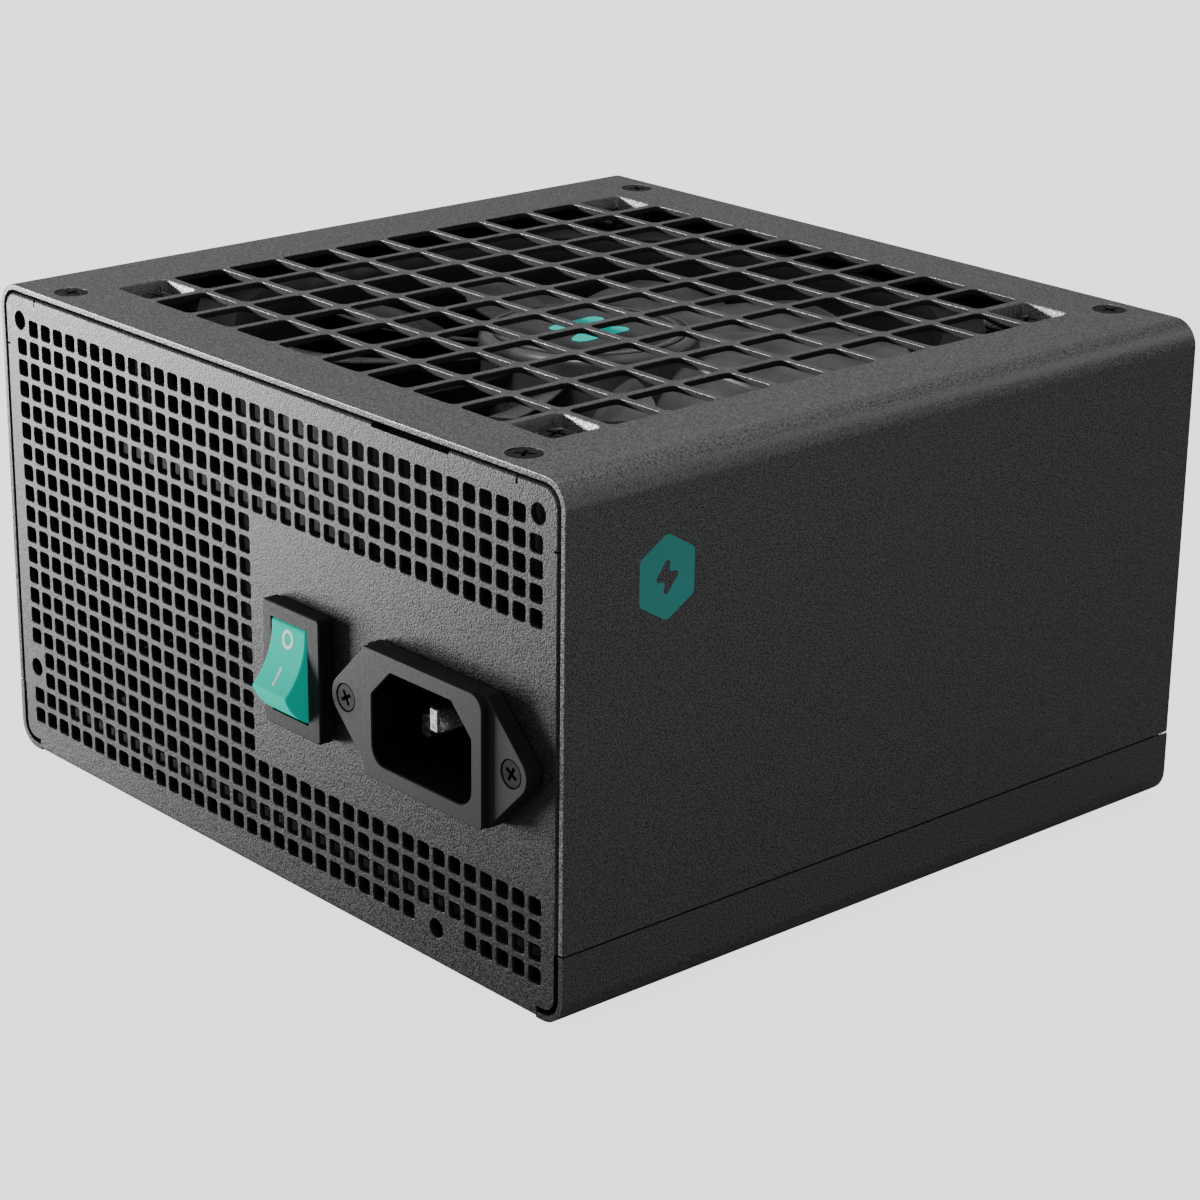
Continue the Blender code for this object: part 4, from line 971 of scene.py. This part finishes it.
def switch_housing():
    x, z = SWITCH.x, SWITCH.z
    centre = (x, z)

    def level(grow, y):
        return rectangle(15.0 + 2 * grow, 21.0 + 2 * grow, 0.7 + grow * 0.5,
                         (x + BEZEL_OFFSET, z), 4), y

    bezel = loft([level(-0.3, -3.0), level(-0.22, -2.97), level(-0.06, -2.82), level(0, -2.7),
                  level(0, -GAP - 0.1), level(-0.1, -GAP)], "Y")
    body = extruded([rectangle(11.6, 19.0, 0, centre)], -1, 14, "Y")
    well = cylinder(ROCKER_R + GAP, -ROCKER_WIDTH / 2 - GAP, ROCKER_WIDTH / 2 + GAP,
                    (ROCKER_PIVOT_Y, 0), 64, "X")
    pivots = cylinder(1.8, -6.8, 6.8, (ROCKER_PIVOT_Y, 0), 24, "X")
    slots = [box((-2.7, 8, side * 5 - 0.7), (2.7, 15, side * 5 + 0.7)) for side in (-1, 1)]
    tools = [moved(mesh, (x, 0, z)) for mesh in (well, pivots, merged(slots))]
    lip_half = ROCKER_WIDTH / 2 + GAP
    mouth = math.sqrt((ROCKER_R + GAP) ** 2 - (3.0 + ROCKER_PIVOT_Y) ** 2)
    edge = rectangle(2 * lip_half + 0.14, 2 * mouth + 0.14, 0, centre)
    lip = loft([(rectangle(2 * lip_half - 0.2, 2 * mouth - 0.2, 0, centre), -2.7),
                (edge, -3.02), (edge, -4)], "Y")
    made = shape(shape(bezel, adds=[body]), cuts=[*tools, lip])
    piece("switch_body", made, "switch_plastic", stands_for=["switch_housing"])


def rocker_face():
    """(tip angle, flat height of the face's edges, radius of its hollow)"""
    tip = math.radians(ROCKER_FACE)
    face = ROCKER_R * math.cos(tip)
    chord = 2 * ROCKER_R * math.sin(tip)
    return tip, face, (chord ** 2 / 4 + ROCKER_HOLLOW ** 2) / (2 * ROCKER_HOLLOW)


def on_face(along):
    """How far out the rocker's hollow face is, at a distance along it from its middle."""
    tip, face, hollow_r = rocker_face()
    spread = math.asin(ROCKER_R * math.sin(tip) / hollow_r)
    return face + hollow_r * math.cos(spread) - math.sqrt(hollow_r ** 2 - along ** 2)


def from_rocker(across, along, out):
    """A place on the rocker, turned so that its upper end is pressed in."""
    lean = math.radians(90 - ROCKER_REST)
    y = along * math.cos(lean) - out * math.sin(lean)
    z = along * math.sin(lean) + out * math.cos(lean)
    return Vector((SWITCH.x + across, ROCKER_PIVOT_Y + y, SWITCH.z + z))


def rocker():
    tip, _, _ = rocker_face()
    steps = 16
    arc = []
    for step in range(steps + 1):
        angle = tip + (math.radians(88) - tip) * step / steps
        arc.append((ROCKER_R * math.sin(angle), ROCKER_R * math.cos(angle)))
    reach = ROCKER_R * math.sin(tip)
    outline = arc + [(-a, b) for a, b in reversed(arc)]
    for step in range(1, 2 * steps):
        along = -reach + reach * step / steps
        outline.append((along, on_face(along)))
    half = ROCKER_WIDTH / 2
    bm = bmesh.new()
    solid = bridge(bm, [[bm.verts.new(from_rocker(side * half, a, b)) for a, b in outline]
                        for side in (-1, 1)])
    pivot = cylinder(1.5, -5.5, 5.5, (0, 0), 24, "X")
    body = shape(solid, adds=[moved(pivot, (SWITCH.x, ROCKER_PIVOT_Y, SWITCH.z))])
    piece("rocker", body, "teal_plastic", "power_rocker", bevel=0.28, segments=3, sharp=28,
          stands_for=["switch_rocker"])
    piece("rocker_marks", merged([face_ring(3.35, 1.55, 1.0), face_bar(-2.75, 0.27, 1.55)]),
          "white_paint", "power_rocker")


def printed(pairs, closed):
    """A thin printed strip on the rocker's face through pairs of (across, along) points.
    It joins up with its start, or is closed by a face at either end."""
    bm = bmesh.new()
    top, bottom = [[[bm.verts.new(from_rocker(u, v, on_face(v) + lift)) for u, v in pair]
                    for pair in pairs] for lift in (0.03, -0.06)]
    count = len(pairs)
    for k in range(count if closed else count - 1):
        n = (k + 1) % count
        bm.faces.new((top[k][0], top[n][0], top[n][1], top[k][1]))
        bm.faces.new((bottom[k][0], bottom[k][1], bottom[n][1], bottom[n][0]))
        for edge in (0, 1):
            bm.faces.new((top[k][edge], bottom[k][edge], bottom[n][edge], top[n][edge]))
    for k in () if closed else (0, count - 1):
        bm.faces.new((top[k][0], bottom[k][0], bottom[k][1], top[k][1]))
    return mesh_of(bm)


def face_ring(middle, outer, inner, sides=40):
    angles = [math.tau * side / sides for side in range(sides)]
    return printed([[(r * math.cos(a) * 0.92, middle + r * math.sin(a)) for r in (outer, inner)]
                    for a in angles], closed=True)


def face_bar(middle, half_width, half_length, steps=10):
    places = [middle - half_length + 2 * half_length * step / steps for step in range(steps + 1)]
    return printed([[(-half_width, along), (half_width, along)] for along in places], closed=False)


# ---------------------------------------------------------------- the inlet

def inlet_outline(grow=0.0):
    """Two round ears joined by straight flanks to a body between them."""
    ear_r = INLET_EAR_R + grow
    half_tall = INLET_HEIGHT / 2 - 0.06 + grow
    ear = Vector((INLET_SCREW_X, 0))
    corner = Vector((INLET_HALF, half_tall))
    to_ear = ear - corner
    flank = math.acos(ear_r / to_ear.length)
    contact = math.atan2(-to_ear.y, -to_ear.x) - flank
    steps = 12
    right = [ear + ear_r * Vector((math.cos(a), math.sin(a)))
             for a in (-contact + 2 * contact * step / steps for step in range(steps + 1))]
    points = [Vector((INLET_HALF, -half_tall)), *right, corner]
    points += [Vector((-a, b)) for a, b in reversed(points)]
    return [INLET.xz + point for point in points]


def inlet_body():
    x, z = INLET.x, INLET.z

    def rim_level(inset, y):
        low = z - INLET_HEIGHT / 2 + inset
        high = z + INLET_HEIGHT / 2 - inset
        left, right = x - INLET_HALF + inset, x + INLET_HALF + 0.2 - inset
        corners = [(left, low, 0.8 - inset), (right, low, 0.8 - inset),
                   (right, high, 2.6 - inset), (left, high, 0.8 - inset)]
        return rounded(corners, 6), y

    front = -INLET_RIM
    rim = loft([rim_level(0.22, front), rim_level(0.16, front + 0.02),
                rim_level(0.05, front + 0.1), rim_level(0, front + 0.22), rim_level(0, -2.1)], "Y")
    face = -INLET_FLANGE
    flange = loft([(inlet_outline(-0.18), face), (inlet_outline(-0.12), face + 0.02),
                   (inlet_outline(-0.03), face + 0.1), (inlet_outline(), face + 0.2),
                   (inlet_outline(), -GAP)], "Y")
    core = extruded([rectangle(27.4, 19.8, 0.7, (x, z), 2)], -1, INLET_BACK, "Y")
    half_wide, half_tall, slope = 12.0, 8.0, 4.8

    def mouth(grow, y):
        a, b = half_wide + grow, half_tall + grow
        corners = [(x - a, z - b, 3 + grow), (x + a, z - b, 3 + grow),
                   (x + a, z + b - slope, 0.5), (x + a - slope, z + b, 0.5),
                   (x - a + slope, z + b, 0.5), (x - a, z + b - slope, 0.5)]
        return rounded(corners, 6), y

    opening = loft([mouth(0.2, front - 1), mouth(0.2, front - 0.02), mouth(0.06, front + 0.14),
                    mouth(0, front + 0.3), mouth(0, INLET_FLOOR)], "Y")
    slots = [box((x + a - 1.3, INLET_FLOOR - 2, z + b - 2.3),
                 (x + a + 1.3, INLET_BACK + 1, z + b + 2.3)) for _, a, b, _ in PINS]
    sinks = [moved(sink(INLET_SCREW_R, 9, 0.15), (screw_x, face, z), 90, "X")
             for screw_x in INLET_SCREWS]
    body = shape(rim, adds=[flange, core], cuts=[opening, merged(slots), merged(sinks)])

    # The inside of the opening is painted near-black. This is painted shade for the deep hollow.
    def in_opening(place):
        return (place.y > front + 0.25 and abs(place.x - x) < half_wide + 0.05
                and abs(place.z - z) < half_tall + 0.05)

    piece("inlet_look", body, "inlet_plastic", stands_for=["inlet_body"], sharp=32,
          second=("painted_shade_black", in_opening))


def inlet_screws():
    flat = flat_screw(INLET_SCREW_R, SHANK_R, 9.0)
    for number, x in enumerate(INLET_SCREWS, 1):
        screw = moved(flat.copy(), angle=30 * number)
        name = f"inlet_screw_{number}"
        piece(name + "_look", moved(screw, (x, 0.1 - INLET_FLANGE, INLET.z), 90, "X"),
              "black_screw", stands_for=[name])


def inlet_pins():
    for name, a, b, tip in PINS:
        at = (INLET.x + a, INLET.z + b)
        pin = bar(at, ((1.6, 3.5, 0.1, tip), (1.9, 3.9, 0.15, tip + 0.3), (2.0, 4.0, 0.2, tip + 0.6),
                       (2.0, 4.0, 0.2, INLET_BACK)))
        tab = bar(at, ((0.8, 4.0, 0, INLET_BACK - 1), (0.8, 4.0, 0, 21.3), (0.5, 3.0, 0, TAB_END)))
        piece(name + "_look", shape(pin, adds=[tab]), "tinned_contact", stands_for=[name])


# ---------------------------------------------------------------- the front

def socket_size(columns):
    return columns * SOCKET_PITCH + 1.2, 2 * SOCKET_PITCH + 1.2


def socket(name, columns, x, z, order):
    """A housing for a detachable lead, with keyed cells, a latch ledge and its contacts."""
    width, height = socket_size(columns)
    low = PORT_BOARD_FACE + GAP

    def level(inset, y):
        return rectangle(width - 2 * inset, height - 2 * inset, 0.3, (x, z), 2), y

    housing = loft([level(0, low), level(0, SOCKET_FRONT - 0.25), level(0.25, SOCKET_FRONT)], "Y")
    cells, contacts = [], []
    for column in range(columns):
        for side in (-1, 1):
            cx = x + (column - (columns - 1) / 2) * SOCKET_PITCH
            cz = z + side * SOCKET_PITCH / 2
            keyed = (column * 2 + (side > 0) + order) % 3 == 0
            if keyed:
                lower = [(-1.7, -0.7), (-0.7, -1.7), (0.7, -1.7), (1.7, -0.7)]
            else:
                lower = [(-1.7, -1.7), (-0.5, -1.7), (0.5, -1.7), (1.7, -1.7)]
            corners = [*lower, (CELL_HALF, CELL_HALF), (-CELL_HALF, CELL_HALF)]

            def cell(grow, y):
                factor = 1 + grow / CELL_HALF
                return [Vector((cx + a * factor, cz + b * factor)) for a, b in corners], y

            cells.append(loft([cell(0, low + 1.2), cell(0, SOCKET_FRONT - 0.25),
                               cell(0.15, SOCKET_FRONT + 0.02), cell(0.15, SOCKET_FRONT + 1)], "Y"))
            contacts.append(bar((cx, cz), ((1.0, 1.0, 0, low + 1.3), (1.0, 1.0, 0, SOCKET_FRONT - 3.6),
                                           (0.4, 0.4, 0, SOCKET_FRONT - 2.8))))
    ledge_width = 2 * min(2.4, width / 4)
    top = z + height / 2
    ledge = rectangle(ledge_width, 2.0, 0, (x, top + 0.2))
    ledge = loft([(ledge, DEPTH + 0.15), (ledge, SOCKET_FRONT - 0.5),
                  (rectangle(ledge_width, 1.2, 0, (x, top - 0.2)), SOCKET_FRONT - 0.02)], "Y")
    made = shape(housing, adds=[ledge], cuts=[merged(cells)])
    piece(name + "_look", made, "socket_plastic", stands_for=[name])
    piece(name + "_contacts", merged(contacts), "tinned_contact")


# ---------------------------------------------------------------- inside

def wires():
    """The mains wires and the fan's lead, rounder than their solids, on the same routes."""
    behind = TAB_END + 1.9
    x, z = INLET.x, INLET.z
    a, b = SWITCH.x, SWITCH.z
    routes = (
        ("line_lead", "wire_brown", [(x - 7, behind, z - 2), (x - 12, 28, z + 3), (26, 29, b + 7),
                                     (a + 5, 27, b + 6), (a, behind, b + 5)]),
        ("load_lead", "wire_brown", [(a, behind, b - 5), (a + 1, 27, b - 8), (a + 2, 28.5, 22),
                                     (a + 2, 27, 9.2)]),
        ("neutral_lead", "wire_blue", [(x + 7, behind, z - 2), (x + 9, 27, z - 6), (x + 12, 28, 22),
                                       (x + 13, 26, 9.2)]),
    )
    for name, finish, points in routes:
        piece(name + "_look", tube(points, 1.45), finish, stands_for=[name])
    lead = tube([(-53, 119, 57), (-55, 118, 50), (-58, 113, 36), (-59.5, 108.5, 24),
                 (-60, 108, 15)], 1.15)
    plug = bar((-60, 108), ((6, 6, 0.6, ON_BOARD), (6, 6, 0.6, 14.0), (5, 5, 0.6, 16.0)), "Z", 3)
    piece("fan_lead_look", shape(plug, adds=[lead]), "wire_insulation", stands_for=["fan_lead"])


def winding(name, ring_r, wire_r, turns, place, axis, turn):
    """A toroid with its separate turns of round wire, over the CAD winding's size."""
    bm = bmesh.new()
    sides, around_steps = 14, turns * 6
    rings = []
    for step in range(around_steps):
        around = math.tau * step / around_steps
        bulge = abs(math.sin(around * turns / 2)) ** 0.6
        radius = wire_r * (0.86 + 0.14 * bulge)
        ring = []
        for side in range(sides):
            angle = math.tau * side / sides
            reach = ring_r + radius * math.cos(angle)
            ring.append(bm.verts.new((reach * math.cos(around), reach * math.sin(around),
                                      radius * math.sin(angle))))
        rings.append(ring)
    for ring, following in zip(rings, rings[1:] + rings[:1]):
        skin(bm, ring, following)
    made = moved(moved(mesh_of(bm), angle=turn, axis=axis), place)
    piece(name + "_look", made, "copper_winding", stands_for=[name], sharp=60)


def carried_over():
    """The CAD solids whose shapes are right get their finished materials."""
    finishes = {
        "ferrite": ("fan_magnet_ring", "transformer_core", "standby_transformer"),
        "ground_steel": ("fan_shaft", "fan_stator"),
        "bearing_bronze": ("fan_bearing",),
        "circuit_board": ("fan_board", "main_board", "modular_board"),
        "tinned_contact": ("switch_terminal_line", "switch_terminal_load"),
        "insulating_film": ("insulator_sheet",),
        "capacitor_sleeve": ("bulk_capacitor", *(f"output_capacitor_{n}" for n in (1, 2, 3))),
        "yellow_film": ("x_capacitor",),
        "heatsink_aluminium": ("primary_heatsink", "secondary_heatsink"),
        "winding_tape": ("transformer_winding",),
        "zinc_screw": tuple(f"board_screw_{n}" for n in (1, 2, 3, 4)),
    }
    for finish, names in finishes.items():
        for name in names:
            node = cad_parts[name]
            node.data.materials.clear()
            node.data.materials.append(MATERIALS[finish])


# ---------------------------------------------------------------- the studio

def area_light(name, place, target, size, power, reached):
    """reached: "object", or the names of the pieces that it lights. Every piece shades."""
    light = bpy.data.lights.new(name, "AREA")
    light.shape = "RECTANGLE"
    light.size, light.size_y = size
    light.energy = power
    holder = bpy.data.objects.new(name, light)
    holder.location = place
    holder.rotation_euler = (Vector(target) - Vector(place)).to_track_quat("-Z", "Y").to_euler()
    holder.visible_camera = False
    lit = bpy.data.collections.new("lit_by_" + name)
    shading = bpy.data.collections.new("shaded_by_" + name)
    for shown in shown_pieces():
        shading.objects.link(shown)
        if reached == "object" or shown.name in reached:
            lit.objects.link(shown)
    holder.light_linking.receiver_collection = lit
    holder.light_linking.blocker_collection = shading
    bpy.context.scene.collection.objects.link(holder)


# The camera was fitted to the case's corners and fixing holes.
CAMERA_PLACE = (0.40562, -0.35426, 0.22589)
CAMERA_TURN = (70.2448, -0.6318, 48.6071)
CAMERA_LENS = 97.89


def studio():
    camera = bpy.data.cameras.new("camera")
    camera.sensor_width = 36.0
    camera.lens = CAMERA_LENS
    camera.clip_end = 50
    holder = bpy.data.objects.new("camera", camera)
    holder.location = CAMERA_PLACE
    holder.rotation_euler = [math.radians(a) for a in CAMERA_TURN]
    bpy.context.scene.collection.objects.link(holder)
    bpy.context.scene.camera = holder

    bm = bmesh.new()
    bmesh.ops.create_grid(bm, x_segments=1, y_segments=1, size=6.0)
    floor = bpy.data.objects.new("floor", mesh_of(bm))
    floor.data.transform(Matrix.Translation((0, 0, -0.0002)))
    paint = Nodes("floor_paint", (0.5, 0.5, 0.5), 0.8, Emission_Color=(1, 1, 1, 1),
                  Emission_Strength=FLOOR_GLOW)
    paint.tint(paint.noise(3.0, 2.0), 0.01)
    floor.data.materials.append(paint.material)
    bpy.context.scene.collection.objects.link(floor)
    floor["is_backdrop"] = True
    lit = bpy.data.collections.new("lit_by_floor")
    lit.objects.link(floor)
    floor.light_linking.receiver_collection = lit

    studio_world()
    for light in LIGHTS:
        area_light(*light)


def studio_world():
    """White to the camera, and on the object brighter from the left than from the right."""
    world = bpy.data.worlds.new("studio")
    bpy.context.scene.world = world
    world.use_nodes = True
    nodes, links = world.node_tree.nodes, world.node_tree.links
    direction = nodes.new("ShaderNodeTexCoord").outputs["Generated"]
    toward = nodes.new("ShaderNodeVectorMath")
    toward.operation = "DOT_PRODUCT"
    toward.inputs[1].default_value = Vector(BRIGHT_SIDE).normalized()
    links.new(direction, toward.inputs[0])
    level = nodes.new("ShaderNodeMapRange")
    level.interpolation_type = "SMOOTHSTEP"
    for socket, value in (("From Min", -0.7), ("From Max", 0.9), ("To Min", WORLD_LEVELS[0]),
                          ("To Max", WORLD_LEVELS[1])):
        level.inputs[socket].default_value = value
    links.new(toward.outputs["Value"], level.inputs["Value"])
    shown = nodes.new("ShaderNodeMix")
    shown.inputs["B"].default_value = BACKDROP
    links.new(nodes.new("ShaderNodeLightPath").outputs["Is Camera Ray"], shown.inputs["Factor"])
    links.new(level.outputs["Result"], shown.inputs["A"])
    links.new(shown.outputs["Result"], nodes["Background"].inputs["Strength"])
    nodes["Background"].inputs["Color"].default_value = (1, 1, 1, 1)


FLOOR_GLOW = 1.9           # the floor's own light, which doesn't reach the object
BACKDROP = 2.5
BRIGHT_SIDE = (-0.6, -0.8, 0.2)
WORLD_LEVELS = (0.22, 0.46)
FAN = ("fan_wheel_look", "fan_badge", "badge_mark", "badge_ring")
OUTSIDE = ("cover", "tray", "side_mark")
FRONT = ("tray", *(socket[0] + part for socket in SOCKETS for part in ("_look", "_contacts")))
LIGHTS = (
    # name, place, target, size, power, what it reaches
    ("key", (-0.31, -0.21, 0.0), (0, -0.05, 0.04), (0.16, 0.16), 2.3, "object"),
    ("rim", (0.45, 0.72, 0.55), (0, 0.02, 0.06), (0.5, 0.4), 1.5, "object"),
    ("side", (0.80, 0.10, 0.10), (0.075, 0, 0.05), (0.6, 0.3), 3.0, OUTSIDE),
    ("front", (-0.35, 0.90, 0.20), (0, 0.07, 0.04), (0.5, 0.4), 9.0, FRONT),
    ("top", (0.0, -0.05, 0.75), (0, 0, 0.086), (0.4, 0.4), 10.5, ("cover",)),
    ("fan", (0.0, -0.30, 0.75), (0, 0, 0.086), (0.4, 0.4), 9.0, FAN),
    ("glint", (-0.50, -0.50, 0.18), (0, 0, 0.086), (0.1, 0.05), 22.0, ("cover",)),
)


cover()
tray()
case_screws()
side_mark()
fan_frame()
fan_wheel()
switch_housing()
rocker()
inlet_body()
inlet_screws()
inlet_pins()
for order, (name, columns, x, z) in enumerate(SOCKETS):
    socket(name, columns, x, z, order)
wires()
winding("pfc_choke", 12.5, 5.8, 32, (-6, 41, ON_BOARD + 18.4), "X", 90)
winding("emi_choke", 8.5, 4.2, 24, (50, 46, ON_BOARD + 12.8), "Y", 90)
carried_over()
studio()
